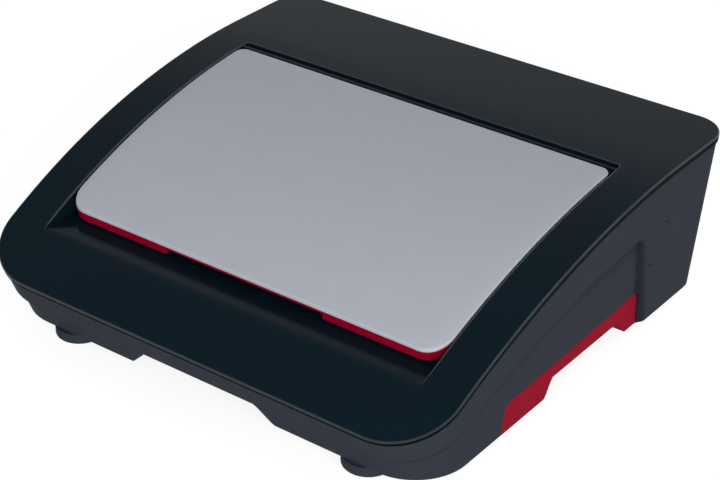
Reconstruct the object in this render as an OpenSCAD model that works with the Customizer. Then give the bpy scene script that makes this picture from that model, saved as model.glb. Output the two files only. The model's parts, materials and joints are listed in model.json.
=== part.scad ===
// Electric comb binding machine, as an assembly of separate parts.
// Millimetres, +Z up, the front faces -Y, the origin lies on the table under the middle of the case.

/* [Case] */
// Overall width, across the top frame at the rear
case_w = 430; // [424:1:460]
// Overall depth, along the top frame
case_d = 397; // [390:1:420]
// Overall height above the table
case_h = 140; // [136:1:150]
// Height of the feet
foot_h = 9; // [7:0.5:11]
// Diameter of a foot
foot_d = 39; // [30:1:42]
// Setback of the feet's middle from the case's widest line
foot_side_set = 77; // [70:1:95]
// Setback of the front feet from the front bottom edge
foot_front_set = 20.5; // [20:0.5:30]
// Setback of the rear feet from the rear bottom edge
foot_rear_set = 36; // [24:1:44]
// Thickness of the case walls
wall_t = 2.8; // [2:0.1:3.4]
// Thickness of the case floor
floor_t = 3; // [2.4:0.1:4]
// Outward flare of the side walls for each millimetre of height
side_flare = 0.067; // [0.02:0.001:0.08]
// Forward lean of the front wall for each millimetre of height
front_lean = 0.36; // [0.2:0.01:0.45]
// Backward lean of the rear wall for each millimetre of height
rear_lean = 0.143; // [0.1:0.001:0.3]
// Radius of the front corners in plan
front_corner_r = 48; // [30:1:56]
// Radius of the rear corners in plan
rear_corner_r = 25; // [14:1:34]
// Depth by which the lower panels stand back below the crease
panel_inset = 4; // [2:0.5:5]
// Height of the arched crease above the case bottom, at the front edge
crease_front_h = 18; // [14:0.2:22]
// Drop of the crease's highest line below the case top
crease_drop = 44; // [40:0.5:50]
// Setback of the crease's highest line from the rear edge
crease_apex_back = 101; // [90:1:112]
// Setback of the crease's upper rear corner from the rear edge
crease_top_set = 122.5; // [120:0.5:150]
// Setback of the crease's lower rear end from the rear edge
crease_foot_set = 101.5; // [98:0.5:103]
// Half width of the raised front skirt at the case bottom
skirt_half_w = 70.5; // [50:0.5:80]
// Run of each sloping end of the raised skirt
skirt_end_run = 20; // [10:1:26]
// Height of the raised front skirt
skirt_h = 17; // [8:0.5:18]
// Depth of the hand recess behind the raised skirt
skirt_d = 42; // [24:1:60]

/* [Top frame] */
// Drop of the arch from its highest line to the front edge
arch_drop = 87.94; // [82:0.02:92]
// Setback of the arch's highest line from the rear edge
apex_back = 76.5; // [60:0.5:90]
// Thickness of the frame skin
frame_t = 3; // [2:0.1:3.4]
// Height of the rim round the frame
rim_h = 3.8; // [3.6:0.1:6]
// Thickness of the rim
rim_t = 5; // [3.5:0.1:6]
// Overhang of the frame beyond the case wall
frame_overhang = 1; // [0.6:0.1:3]
// Gap between the frame rim and the case
seam_gap = 0.5; // [0.3:0.1:0.9]
// Setback of the paper slot's middle from the rear edge
slot_back = 108.5; // [107:0.5:111]
// Width of the paper slot
slot_w = 4.8; // [4.7:0.1:6]
// Width of the bridge between the lid and the paper slot
slot_bridge = 3; // [2.6:0.1:4]
// Width of the flat sill in front of the lid
sill_w = 23.6; // [16:0.1:26]
// Drop of the sill below the frame in front of it
sill_drop = 0.4; // [0.2:0.1:1]
// Thickness of the sill and of the walls round the lid opening
well_t = 3; // [2:0.1:3.4]

/* [Lid] */
// Width of the frame beside the lid, out to the case's widest line
lid_side_set = 38; // [35:0.5:43]
// Setback of the lid from the front edge
lid_front_set = 67.1; // [63:0.1:76]
// Gap at each side of the lid
lid_gap = 2; // [1.2:0.1:3]
// Gap behind the lid
lid_rear_gap = 2; // [1.9:0.1:3]
// Thickness of the silver skin
lid_t = 2.5; // [1.6:0.1:3]
// Corner radius at the lid's front
lid_front_r = 18; // [8:0.5:22]
// Corner radius at the lid's rear
lid_rear_r = 8; // [4:0.5:12]
// Depth of the lip under the skin
lip_h = 7; // [6:0.1:7.2]
// Wall thickness of the liner
liner_t = 2.4; // [1.8:0.1:3]
// Setback of the liner inside the skin's edge
liner_set = 1; // [0.6:0.1:2]
// Half width of the finger pocket in the lip
pocket_half_w = 74; // [40:1:100]
// Diameter of the hinge pins
hinge_pin_d = 4; // [3:0.1:4.6]
// Setback of the hinge axis from the lid's rear edge
hinge_set = 20.6; // [16:0.1:24]
// Width of each hinge boss
hinge_boss_w = 26; // [12:1:40]

/* [Drawer] */
// Setback of the drawer face from the front edge
drawer_front_set = 108.5; // [107:0.5:122]
// Setback of the drawer's rear edge from the rear edge
drawer_rear_set = 105.5; // [105:0.5:110]
// Height of the drawer face at its rear end
drawer_h = 31; // [29:0.5:33]
// Fall of the face's upper edge towards the front
drawer_fall = 10; // [6:0.5:11]
// Run of the face's sloping ends
drawer_end_run = 7.5; // [2:0.5:9]
// Height of the tray's flanges above the case bottom
flange_rise = 11; // [9:0.5:12]
// Setback of the tray's front wall from the face's front end
tray_front_set = 11; // [9.5:0.5:14]
// Setback of the tray's rear wall from the face's rear end
tray_rear_set = 8; // [7.5:0.5:14]
// Setback of the tray's left end from the left chassis plate
drawer_left_set = 8.5; // [5:0.5:14]
// Thickness of the drawer walls
drawer_t = 2.4; // [1.8:0.1:3]
// Gap round the drawer
drawer_gap = 0.6; // [0.4:0.1:1]
// Width of the flanges that ride on the rails
drawer_flange = 4.5; // [3.5:0.1:4.8]
// Height of the finger notch
notch_h = 15; // [10:0.5:16]
// Setback of the notch from the face's front end
notch_set = 53; // [40:1:70]
// Setback of the notch from the face's rear end
notch_rear_set = 18; // [14:1:60]
// Run of the notch's front slope
notch_front_run = 13; // [6:0.5:16]
// Run of the notch's rear slope
notch_rear_run = 25; // [10:0.5:30]
// Depth of the hand space behind the notch
notch_d = 24; // [18:1:28]

/* [Punch unit] */
// Distance between punched holes
hole_pitch = 14.2875; // [10:0.0125:14.2875]
// Length of a punched hole
hole_w = 8; // [5:0.1:8.4]
// Height of a punched hole
hole_h = 3; // [2:0.1:4]
// Clearance round each punch pin
pin_gap = 0.15; // [0.1:0.05:0.3]
// Depth of the row of holes below the case top
punch_drop = 72; // [70:0.5:74]
// Thickness of the paper channel between the plates
channel_w = 3.4; // [2.6:0.1:4]
// Thickness of the die plate
die_t = 7.8; // [6:0.1:8]
// Thickness of the stripper plate
stripper_t = 6.3; // [5:0.1:7]
// Height of the plates below the row of holes
die_below = 14; // [10:0.5:15]
// Height of the plates above the row of holes
die_above = 32; // [28:0.5:34]
// Distance from the row of holes down to the paper stop
hole_margin = 6; // [4:0.1:8]
// Setback of the chassis plates from the sides of the lid opening
chassis_set = 15.5; // [13:0.5:18]
// Thickness of the chassis plates
chassis_t = 3; // [2:0.1:3.5]
// Stroke of the pressure bar
punch_stroke = 11; // [9:0.1:12]
// Gap between the stripper plate and the pressure bar at rest
bar_gap = 15; // [13.5:0.5:16]
// Thickness of the pressure bar
bar_t = 12; // [10:0.5:13]
// Height of the pressure bar
bar_h = 20; // [18:0.5:24]
// Diameter of the guide rods
rod_d = 8; // [6:0.5:9]
// Radial running clearance of shafts and rods
run_gap = 0.05; // [0.02:0.01:0.1]

/* [Drive] */
// Diameter of the drive shaft
shaft_d = 12; // [10:0.5:14]
// Least radius of the cams
cam_r = 10; // [9:0.1:10.5]
// Turn of the shaft over one stroke, in degrees
cam_turn = 150; // [140:1:160]
// Gap between the cams and the pressure bar
cam_gap = 0.4; // [0.3:0.05:0.8]
// Setback of each cam from the chassis plate beside it
cam_set = 63.5; // [35:0.5:100]
// Width of each cam
cam_w = 12; // [8:0.5:14]
// Module of the gears
gear_m = 2; // [1.9:0.05:2.05]
// Teeth on the main gear
main_teeth = 30; // [28:1:31]
// Teeth on the motor pinion
pinion_teeth = 12; // [11:1:13]
// Width of the gears
gear_w = 8; // [6:0.5:10]
// Bearing of the motor from the shaft, above the rear, in degrees
motor_bearing = 76.6; // [72:0.1:82]
// Diameter of the motor
motor_d = 40; // [34:0.5:42]
// Length of the motor
motor_len = 56; // [40:1:70]
// Side of the square gearbox
gearbox_w = 44; // [42:0.5:45]
// Thickness of the gearbox
gearbox_t = 15; // [10:0.5:20]
// Diameter of the motor shaft
motor_shaft_d = 6; // [4:0.5:8]

/* [Deck and comb opener] */
// Depth of the deck surface below the case top
deck_drop = 75; // [74:0.5:77]
// Width of the gap in front of the punch plates where the chips drop
chip_gap = 12; // [8:0.5:14]
// Thickness of the deck
deck_t = 3; // [2:0.1:3.4]
// Distance of the fixed fingers in front of the paper slot
fingers_set = 91; // [85:1:97]
// Thickness of the finger and hook plates
finger_t = 2; // [1.5:0.1:2.4]
// Height of the fingers above the deck
finger_h = 39; // [32:0.5:42]
// Width of each finger
finger_w = 5; // [3:0.1:5.4]
// Width of each hook
hook_w = 4; // [2.5:0.1:4.4]
// Reach of each hook
hook_reach = 12; // [8:0.5:14]
// Gap between sliding comb parts
slide_gap = 0.4; // [0.3:0.05:0.6]
// Depth of the sliding hook plate
hook_plate_d = 36; // [30:0.5:38]
// Turn of the comb lever, in degrees
lever_turn = 60; // [50:1:62]
// Teeth on a full turn of the lever's pinion
lever_teeth = 12; // [11:1:12]
// Length of the comb lever
lever_len = 60; // [45:1:64]
// Diameter of the lever pin
lever_pin_d = 6; // [5:0.5:7]
// Distance of the lever pin in front of the fingers
lever_set = 39; // [36:1:41]
// Diameter of the punch button
button_d = 18; // [14:0.5:22]
// Travel of the punch button
button_travel = 2; // [1:0.1:2.2]

/* [Power] */
// Width of the power inlet
inlet_w = 27; // [22:0.5:30]
// Height of the power inlet
inlet_h = 20; // [16:0.5:22]
// Depth of the power inlet behind the wall
inlet_d = 18; // [14:0.5:22]
// Width of the power switch
switch_w = 22; // [18:0.5:26]
// Height of the power switch
switch_h = 14; // [12:0.5:18]
// Depth of the power switch behind the wall
switch_d = 16; // [12:0.5:20]
// Wall thickness of the inlet and the switch
socket_t = 3; // [2:0.1:3.4]
// Width of the flanges round the inlet and the switch
socket_flange = 2.5; // [1.5:0.1:4]
// Distance of the power inlet from the middle
inlet_x = 110; // [90:1:130]
// Height of the power inlet above the case bottom
inlet_rise = 36; // [30:1:44]
// Distance of the power switch from the middle
switch_x = 66; // [56:1:72]
// Tilt of the power rocker to each side, in degrees
rocker_tilt = 9; // [5:0.5:11]
// Diameter of the round cap in the right wall
cap_d = 35; // [28:0.5:40]
// Height of the cap's middle above the case bottom
cap_rise = 69; // [60:1:76]
// Setback of the cap's middle from the rear edge
cap_set = 95; // [90:1:100]

/* [Hidden] */

$fn = 48;
hull_fn = 64;
arch_fn = 720;
far = 400;
eps = 0.01;
edge_h = 1;
seat_gap = 0.3;

// Case levels and edges
z0 = foot_h;
floor_z = z0 + floor_t;
yf = -case_d / 2;
yr = case_d / 2;
apex_y = yr - apex_back;
arch_run = apex_y - yf;
arch_r = (arch_run * arch_run + arch_drop * arch_drop) / (2 * arch_drop);
arch_zc = case_h - arch_r;
front_edge_z = arch_z(yf);
bottom_half_w = case_w / 2 - frame_overhang - side_flare * (case_h - z0);
bottom_front_y = yf + frame_overhang + front_lean * (front_edge_z - z0);
bottom_rear_y = yr - frame_overhang - rear_lean * (case_h - z0);
flare_angle = atan(side_flare);
rear_angle = atan(rear_lean);
inner_inset = panel_inset + wall_t;
crease_apex_y = yr - crease_apex_back;
crease_top_z = case_h - crease_drop;
crease_run = crease_apex_y - yf;
crease_rise = crease_top_z - z0 - crease_front_h;
crease_r = (crease_run * crease_run + crease_rise * crease_rise) / (2 * crease_rise);
crease_zc = crease_top_z - crease_r;
crease_top_y = yr - crease_top_set;
crease_foot_y = yr - crease_foot_set;
crease_margin = 20;

// Lid, sill and slot
slot_y = yr - slot_back;
slot_front_y = slot_y - slot_w / 2;
slot_rear_y = slot_y + slot_w / 2;
open_rear_y = slot_front_y - slot_bridge;
lid_rear_y = open_rear_y - lid_rear_gap;
lid_front_y = yf + lid_front_set;
lid_w = case_w - 2 * lid_side_set;
sill_y = lid_front_y - sill_w;
sill_z = arch_z(sill_y) - sill_drop;
sill_under = 10;
sill_back_y = lid_front_y + sill_under;
open_x = lid_w / 2 + lid_gap;
well_x = open_x + well_t;
hinge_y = lid_rear_y - hinge_set;
hinge_drop = lid_t + hinge_pin_d;
hinge_z = arch_z(hinge_y) - hinge_drop;
hinge_boss_d = 10;
pocket_d = 12;
bumper_d = 6;
bumper_in = 30;
bumper_front_y = lid_front_y + liner_set;
bumper_top_z = sunk_arch_z(bumper_front_y, lid_t + lip_h) - seat_gap;

// Chassis and drawer
chassis_x = open_x - chassis_set;
drawer_reach = chassis_x - drawer_left_set;
drawer_rear_y = yr - drawer_rear_set;
drawer_front_y = yf + drawer_front_set;
drawer_bottom_z = z0 + seat_gap;
tray_front_y = drawer_front_y + tray_front_set;
tray_rear_y = drawer_rear_y - tray_rear_set;
tray_end_x = bottom_half_w - panel_inset - notch_d - drawer_t;
tray_h = drawer_h - drawer_fall;
flange_z = z0 + flange_rise;
rail_t = 3;
rail_ledge_t = 2;
rail_side_gap = 0.5;
rail_end = 5;

// Punch unit
punch_z = case_h - punch_drop;
die_rear_y = slot_y - channel_w / 2;
die_front_y = die_rear_y - die_t;
stripper_front_y = slot_y + channel_w / 2;
stripper_rear_y = stripper_front_y + stripper_t;
die_low_z = punch_z - die_below;
die_top_z = punch_z + die_above;
bar_front_y = stripper_rear_y + bar_gap;
bar_rear_y = bar_front_y + bar_t;
bar_side_gap = 3;
bar_half_w = chassis_x - bar_side_gap;
pin_sink = 0.5;
pin_tip_y = stripper_front_y + pin_sink;
guide_x = bar_half_w - rod_d;
row_half = floor((guide_x - rod_d / 2 - hole_w / 2 - seat_gap) / hole_pitch);
cam_x = chassis_x - cam_set;
guide_end = 2;
cam_fall = 60;
cam_reach = max([for (b = [0:1:70]) cam_radius(180 - b) * cos(b)]);
shaft_y = bar_rear_y + cam_reach + cam_gap;
shaft_z = punch_z;
gear_set = 7;
gear_x = chassis_x + chassis_t + gear_set;
shaft_end = 2;
bush_t = 2;
bush_flange = 3;
bush_flange_t = 2;
gear_backlash = 0.2;
gear_distance = gear_m * (main_teeth + pinion_teeth) / 2 + gear_backlash;
motor_y = shaft_y + gear_distance * cos(motor_bearing);
motor_z = shaft_z + gear_distance * sin(motor_bearing);
motor_end = 4;
gear_seat = 3;

// Gear teeth, in modules
tooth_root = 1.25;
tooth_tip = 0.8;
tooth_root_half = 0.82;
tooth_tip_half = 0.4;

// Chassis plates
chassis_top_gap = 12;
chassis_rear_gap = 5;
chassis_margin = 2;
chassis_foot_w = 14;
chassis_foot_t = 2;
chassis_screw_set = 11;
chassis_front_y = stripper_rear_y + chassis_margin / 2;
chassis_floor_rear_y = bottom_rear_y - inner_inset - chassis_rear_gap;
chassis_rear_y = shaft_y + gear_m * main_teeth / 2 + chassis_margin / 2;
chassis_top_z = case_h - chassis_top_gap;
chassis_step_y = slot_rear_y + well_t + chassis_margin;
chassis_nose_y = die_front_y - chassis_margin;
chassis_nose_z = die_low_z - chassis_margin;

// Edge guide
guide_stop_set = 5;
guide_stop_x = -chassis_x + guide_stop_set;
guide_stop_w = 9;
guide_stop_h = 24;
guide_tab_l = 9;
guide_tab_h = 6;
guide_travel = 40;

// Deck and comb opener
deck_z = case_h - deck_drop;
deck_low_z = deck_z - deck_t;
deck_front_y = sill_back_y - well_t;
deck_rear_y = die_front_y - seat_gap;
deck_post_d = 10;
deck_post_in = 28;
deck_post_x = open_x - deck_post_in;
deck_post_y = deck_front_y + deck_post_d / 2 + chassis_margin;
deck_side_post_x = -well_x + deck_post_d / 2 + edge_h;
guard_end = 8;
guard_drop = 4;
guard_x = chassis_x - guard_end;
guard_y = deck_rear_y - chip_gap;
guard_z = die_top_z - guard_drop;
deck_side_post_y = guard_y - deck_post_d;
fingers_y = slot_y - fingers_set;
fingers_half_w = hole_pitch * row_half + hole_pitch / 2;
fingers_foot = 8;
fingers_end = 1.4;
hook_y = fingers_y + 3 * finger_t;
hook_z = deck_z + finger_t + slide_gap;
hook_top_z = hook_z + finger_h - 2 * finger_t;
lever_m = 2;
lever_r = lever_m * lever_teeth / 2;
rack_x = fingers_half_w - edge_h;
rack_w = 7;
rack_back_x = rack_x + tooth_root * lever_m + gear_backlash / 2;
rack_end = 4;
rack_lap = 14;
rack_arm_x = rack_back_x + rack_w;
lever_x = rack_x - lever_r - gear_backlash;
lever_y = fingers_y - lever_set;
lever_rise = 0.6;
lever_z = hook_z + lever_rise;
lever_gear_h = 6;
lever_arm_t = 5;
lever_arm_w = 12;
lever_hub_d = 17;
lever_arm_z = lever_z + lever_gear_h;
lever_top_z = lever_arm_z + lever_arm_t;
lever_collar = 3;
lever_head_t = 1.6;
knob_d = 10;
knob_h = 6;
hook_travel = lever_r * lever_turn * PI / 180;
stud_set = 50;
stud_x = fingers_half_w - stud_set;
stud_y = hook_y + hook_plate_d / 2 + hook_travel / 2;
stud_d = 6;
stud_head = 2.5;
stud_head_t = 2;
stud_head_z = hook_z + finger_t + slide_gap;
button_side_set = 49;
button_front_set = 42;
button_x = -open_x + button_side_set;
button_y = sill_back_y + button_front_set;
button_rise = 3.5;
button_flange = 2.5;
button_flange_t = 2;
board_t = 1.6;
board_switch_w = 12;
board_switch_h = 3;
plunger_d = 5;
plunger_h = 0.8;
button_under_z = deck_low_z - seat_gap - button_flange_t;
board_z = button_under_z - button_travel - seat_gap - plunger_h - board_switch_h - board_t;
board_x = button_x + 8;
board_y = button_y + 12;
board_w = 80;
board_d = 76;
board_corner = 5;
standoff_d = 6;

// Fasteners and posts
post_d = 11;
post_side_gap = 3.5;
post_front_set = 17;
post_side_set = 1.3;
post_rear_set = 61;
post_drop = 83;
post_x_front = open_x + post_d / 2 + post_side_gap;
post_y_front = sill_y + post_front_set;
post_x_rear = bottom_half_w - inner_inset - post_d / 2 - post_side_set;
post_y_rear = slot_y + post_rear_set;
post_top_z = case_h - post_drop;
screw_d = 4;
screw_head_d = 8;
screw_head_h = 3;
screw_bite = 9;
screw_sink = 1;
screw_slack = 0.4;
screw_seat = 0.1;

// Power supply
psu_x = -chassis_x + chassis_foot_w + chassis_margin;
psu_y = slot_y + chassis_foot_w;
psu_rise = 6;
psu_z = floor_z + psu_rise;
psu_w = 90;
psu_d = 42;
transformer_w = 36;
transformer_h = 16;
core_share = 0.78;

// Rear and side fittings
socket_flange_t = 1.2;
contact_w = 3;
contact_t = 2;
rocker_pin_d = 2;
rocker_pin_set = 0.5;
rocker_sink = 2;
rocker_w = switch_w - 2 * socket_t - 1;
foot_step = 2;
cap_t = 2.2;
cap_groove = 0.4;

function sunk_arch_z(y, depth) =
    y < apex_y ? arch_zc + sqrt((arch_r - depth) * (arch_r - depth) - (y - apex_y) * (y - apex_y))
    : case_h - depth;
function arch_z(y) = sunk_arch_z(y, 0);
function half_w(z) = bottom_half_w + side_flare * (z - z0);
function front_y(z) = bottom_front_y - front_lean * (z - z0);
function rear_y(z) = bottom_rear_y + rear_lean * (z - z0);
function crease_z(y) = crease_zc + sqrt(crease_r * crease_r - (y - crease_apex_y) * (y - crease_apex_y));

// Radius of a cam towards the bearing b: it rises evenly over one stroke and drops back behind the nose
function cam_radius(b) =
    let (turned = (180 - b + 720) % 360)
    turned <= cam_turn ? cam_r + punch_stroke * turned / cam_turn
    : turned <= cam_turn + cam_fall
        ? cam_r + punch_stroke * (1 + cos(180 * (turned - cam_turn) / cam_fall)) / 2
    : cam_r;

// Solid from a profile in Y and Z, between two places on X
module along_x(x0, x1) translate([x0, 0, 0]) rotate([90, 0, 90]) linear_extrude(x1 - x0) children();

// Solid from a profile in X and Z, between two places on Y
module along_y(y0, y1) translate([0, y1, 0]) rotate([90, 0, 0]) linear_extrude(y1 - y0) children();

module block(low, high) translate(low) cube(high - low);

module rod_x(x0, x1, y, z, d) translate([x0, y, z]) rotate([0, 90, 0]) cylinder(d = d, h = x1 - x0);

module rod_y(x, y0, y1, z, d) translate([x, y0, z]) rotate([-90, 0, 0]) cylinder(d = d, h = y1 - y0);

module rod_z(x, y, z0, z1, d) translate([x, y, z0]) cylinder(d = d, h = z1 - z0);

module mirrored() {
    children();
    mirror([1, 0, 0]) children();
}

// Everything below the arch, sunk by a depth square to the arch
module under_arch(depth) {
    intersection() {
        translate([apex_y, arch_zc]) circle(r = arch_r - depth, $fn = arch_fn);
        translate([apex_y - far, -far / 4]) square([far, far]);
    }
    translate([apex_y - eps, -far / 4]) square([far, case_h - depth + far / 4]);
}

// Everything on and behind the crease: the band under the frame and the rear block
module behind_crease() {
    top_z = case_h + crease_margin;
    difference() {
        translate([yf - crease_margin, 0]) square([crease_top_y - yf + crease_margin, top_z]);
        translate([crease_apex_y, crease_zc]) circle(r = crease_r, $fn = arch_fn);
    }
    polygon([[crease_top_y - eps, crease_z(crease_top_y)], [crease_foot_y, z0 - eps],
        [yr + crease_margin, z0 - eps], [yr + crease_margin, top_z], [crease_top_y - eps, top_z]]);
}

// Case body with flared sides, leaning ends and round corners, grown sideways
module tapered_body(grow, low, high) {
    hull() for (z = [low, high - edge_h], side = [-1, 1]) {
        translate([side * (half_w(z) - front_corner_r), front_y(z) + front_corner_r, z])
            cylinder(r = front_corner_r + grow, h = edge_h, $fn = hull_fn);
        translate([side * (half_w(z) - rear_corner_r), rear_y(z) - rear_corner_r, z])
            cylinder(r = rear_corner_r + grow, h = edge_h, $fn = hull_fn);
    }
}

// Rectangle in plan with round corners, small circles at the front or the rear
module round_plan(x, y0, y1, r0, r1) {
    translate([-x + r0, y0]) square([2 * (x - r0), y1 - y0]);
    translate([-x, y0 + r0]) square([2 * x, y1 - y0 - r0 - r1]);
    translate([-x + r1, y0 + r0]) square([2 * (x - r1), y1 - y0 - r0]);
    for (side = [-1, 1]) {
        translate([side * (x - r0), y0 + r0]) circle(r = r0);
        translate([side * (x - r1), y1 - r1]) circle(r = r1);
    }
}

// Places with +Y square to the leaning rear wall and +X square to the flared right wall
module on_rear(x, z) translate([x, rear_y(z), z]) rotate([-rear_angle, 0, 0]) children();
module on_right(y, z) translate([half_w(z), y, z]) rotate([0, flare_angle, 0]) children();

// Outline of the raised front skirt
module skirt_outline(grow) {
    top_w = skirt_half_w - skirt_end_run + grow;
    polygon([[-skirt_half_w - grow, z0 - 5], [-skirt_half_w - grow, z0], [-top_w, z0 + skirt_h + grow],
        [top_w, z0 + skirt_h + grow], [skirt_half_w + grow, z0], [skirt_half_w + grow, z0 - 5]]);
}

// Outline of the drawer face, grown on every side but the lower one
module drawer_outline(grow, low) {
    polygon([[drawer_front_y - grow, low],
        [drawer_front_y - grow, z0],
        [drawer_front_y + drawer_end_run - grow, z0 + drawer_h - drawer_fall + grow],
        [drawer_rear_y - drawer_end_run + grow, z0 + drawer_h + grow],
        [drawer_rear_y + grow, z0],
        [drawer_rear_y + grow, low]]);
}

module notch_outline() {
    y0 = drawer_front_y + notch_set;
    y1 = drawer_rear_y - notch_rear_set;
    polygon([[y0, z0 - 1], [y0, z0], [y0 + notch_front_run, z0 + notch_h],
        [y1 - notch_rear_run, z0 + notch_h], [y1, z0], [y1, z0 - 1]]);
}

// Toothed wheel with straight-flanked teeth, the first one at the bearing given
module gear_profile(teeth, m, bearing, from = 0, to = -1) {
    r = teeth * m / 2;
    last = to < 0 ? teeth - 1 : to;
    root_r = r - tooth_root * m;
    tip_r = r + tooth_tip * m;
    root_half = tooth_root_half * m;
    tip_half = tooth_tip_half * m;
    circle(r = root_r, $fn = 96);
    for (i = [from:last])
        rotate(bearing + i * 360 / teeth)
            polygon([[root_r - m / 2, -root_half], [root_r, -root_half], [tip_r, -tip_half],
                [tip_r, tip_half], [root_r, root_half], [root_r - m / 2, root_half]]);
}

module case_posts() case_screw_holes(post_d, z0, post_top_z);

// Upright rods on the four places of the case screws
module case_screw_holes(d, low, high) {
    for (side = [-1, 1]) {
        rod_z(side * post_x_front, post_y_front, low, high, d);
        rod_z(side * post_x_rear, post_y_rear, low, high, d);
    }
}

// Box on the middle of a place on the rear wall, between two depths
module rear_box(w, h, y0, y1) translate([-w / 2, y0, -h / 2]) cube([w, y1 - y0, h]);

// Flanged shell for the rear wall, open to the rear
module rear_socket(w, h, depth, hollow) difference() {
    union() {
        rear_box(w, h, -depth, 0);
        rear_box(w + 2 * socket_flange, h + 2 * socket_flange, 0, socket_flange_t);
    }
    rear_box(w - 2 * socket_t, h - 2 * socket_t, -hollow, socket_flange_t + 1);
}

module lower_case() color("#3b3f46") difference() {
    intersection() {
        union() {
            intersection() {
                tapered_body(0, z0, case_h);
                along_x(-far, far) behind_crease();
            }
            tapered_body(-panel_inset, z0, case_h);
        }
        along_x(-far, far) under_arch(rim_h + seam_gap);
    }
    difference() {
        tapered_body(-inner_inset, floor_z, case_h + 1);
        case_posts();
        along_y(-far, bottom_front_y + panel_inset + skirt_d + wall_t) skirt_outline(wall_t);
    }
    along_y(-far, bottom_front_y + panel_inset + skirt_d) skirt_outline(0);
    block([-drawer_reach - drawer_gap, drawer_front_y - drawer_gap, z0 - 1],
        [half_w(z0), drawer_rear_y + drawer_gap, floor_z + 1]);
    along_x(chassis_x, far) drawer_outline(drawer_gap, z0 - 1);
    case_screw_holes(screw_head_d + 1, z0 - 1, z0 + screw_sink + screw_head_h);
    case_screw_holes(screw_d + screw_slack, z0, post_top_z + 1);
    chassis_screw_places() rod_z(0, 0, z0 - 1, floor_z + 1, screw_d - screw_slack);
    on_rear(-inlet_x, z0 + inlet_rise)
        rear_box(inlet_w + 2 * seat_gap, inlet_h + 2 * seat_gap, -2 * inlet_d, 1);
    on_rear(-switch_x, z0 + inlet_rise)
        rear_box(switch_w + 2 * seat_gap, switch_h + 2 * seat_gap, -2 * switch_d, 1);
    on_right(yr - cap_set, z0 + cap_rise) {
        rod_x(-cap_t - seat_gap, 2 * cap_t, 0, 0, cap_d + 2 * cap_groove);
        rod_x(-2 * inner_inset, 0, 0, 0, cap_d / 2);
    }
}

module top_frame() color("#1a2028") difference() {
    union() {
        difference() {
            intersection() {
                tapered_body(frame_overhang, z0, case_h + edge_h);
                along_x(-far, far) under_arch(0);
            }
            intersection() {
                tapered_body(frame_overhang - rim_t, z0 - 1, case_h + 2 * edge_h);
                along_x(-far, far) under_arch(frame_t);
            }
            along_x(-far, far) under_arch(rim_h);
            block([-open_x, sill_y, 0], [open_x, open_rear_y, case_h + 1]);
        }
        mirrored() along_x(open_x, well_x) intersection() {
            under_arch(frame_t / 2);
            translate([sill_y - well_t, deck_z + seat_gap])
                square([open_rear_y - sill_y + well_t, case_h - deck_z]);
        }
        block([-well_x, sill_y - well_t, sill_z - well_t], [well_x, sill_back_y, sill_z]);
        intersection() {
            case_screw_holes(post_d - 2, post_top_z + seat_gap, case_h);
            along_x(-far, far) under_arch(frame_t / 2);
        }
    }
    block([-open_x, slot_front_y, case_h - 20], [open_x, slot_rear_y, case_h + 1]);
    rod_x(-well_x - 1, well_x + 1, hinge_y, hinge_z, hinge_pin_d);
    case_screw_holes(screw_d, post_top_z - 1, post_top_z + screw_bite);
}

// Silver lid skin
module lid_panel() color("#a9adb6") intersection() {
    along_x(-far, far) difference() {
        under_arch(0);
        under_arch(lid_t);
    }
    linear_extrude(case_h + 1) round_plan(lid_w / 2, lid_front_y, lid_rear_y, lid_front_r, lid_rear_r);
}

module liner_plan(set) linear_extrude(case_h + 1)
    round_plan(lid_w / 2 - set, lid_front_y + set, lid_rear_y - set, lid_front_r - set, lid_rear_r - set);

// Red tray under the skin, with its lip, finger pocket and hinge bosses
module lid_liner() color("#a01530") difference() {
    intersection() {
        along_x(-far, far) difference() {
            under_arch(lid_t);
            under_arch(lid_t + lip_h);
        }
        difference() {
            liner_plan(liner_set);
            difference() {
                intersection() {
                    along_x(-far, far) under_arch(lid_t + liner_t);
                    liner_plan(liner_set + liner_t);
                }
                mirrored() block([lid_w / 2 - hinge_boss_w, hinge_y - hinge_boss_d, 0],
                    [lid_w / 2, lid_rear_y, case_h]);
                block([-pocket_half_w - liner_t, lid_front_y, 0],
                    [pocket_half_w + liner_t, lid_front_y + pocket_d + liner_t, case_h]);
            }
        }
    }
    intersection() {
        along_x(-far, far) under_arch(lid_t + liner_t);
        block([-pocket_half_w, lid_front_y - 1, 0], [pocket_half_w, lid_front_y + pocket_d, case_h]);
    }
    rod_x(-lid_w, lid_w, hinge_y, hinge_z, hinge_pin_d + 2 * run_gap);
}

module lid_hinge_pins() color("silver") mirrored()
    rod_x(lid_w / 2 - hinge_boss_w + 2, well_x, hinge_y, hinge_z, hinge_pin_d);

module lid_bumpers() color("#202020") mirrored()
    rod_z(lid_w / 2 - bumper_in, bumper_front_y + bumper_d / 2, sill_z, bumper_top_z, bumper_d);

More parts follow.
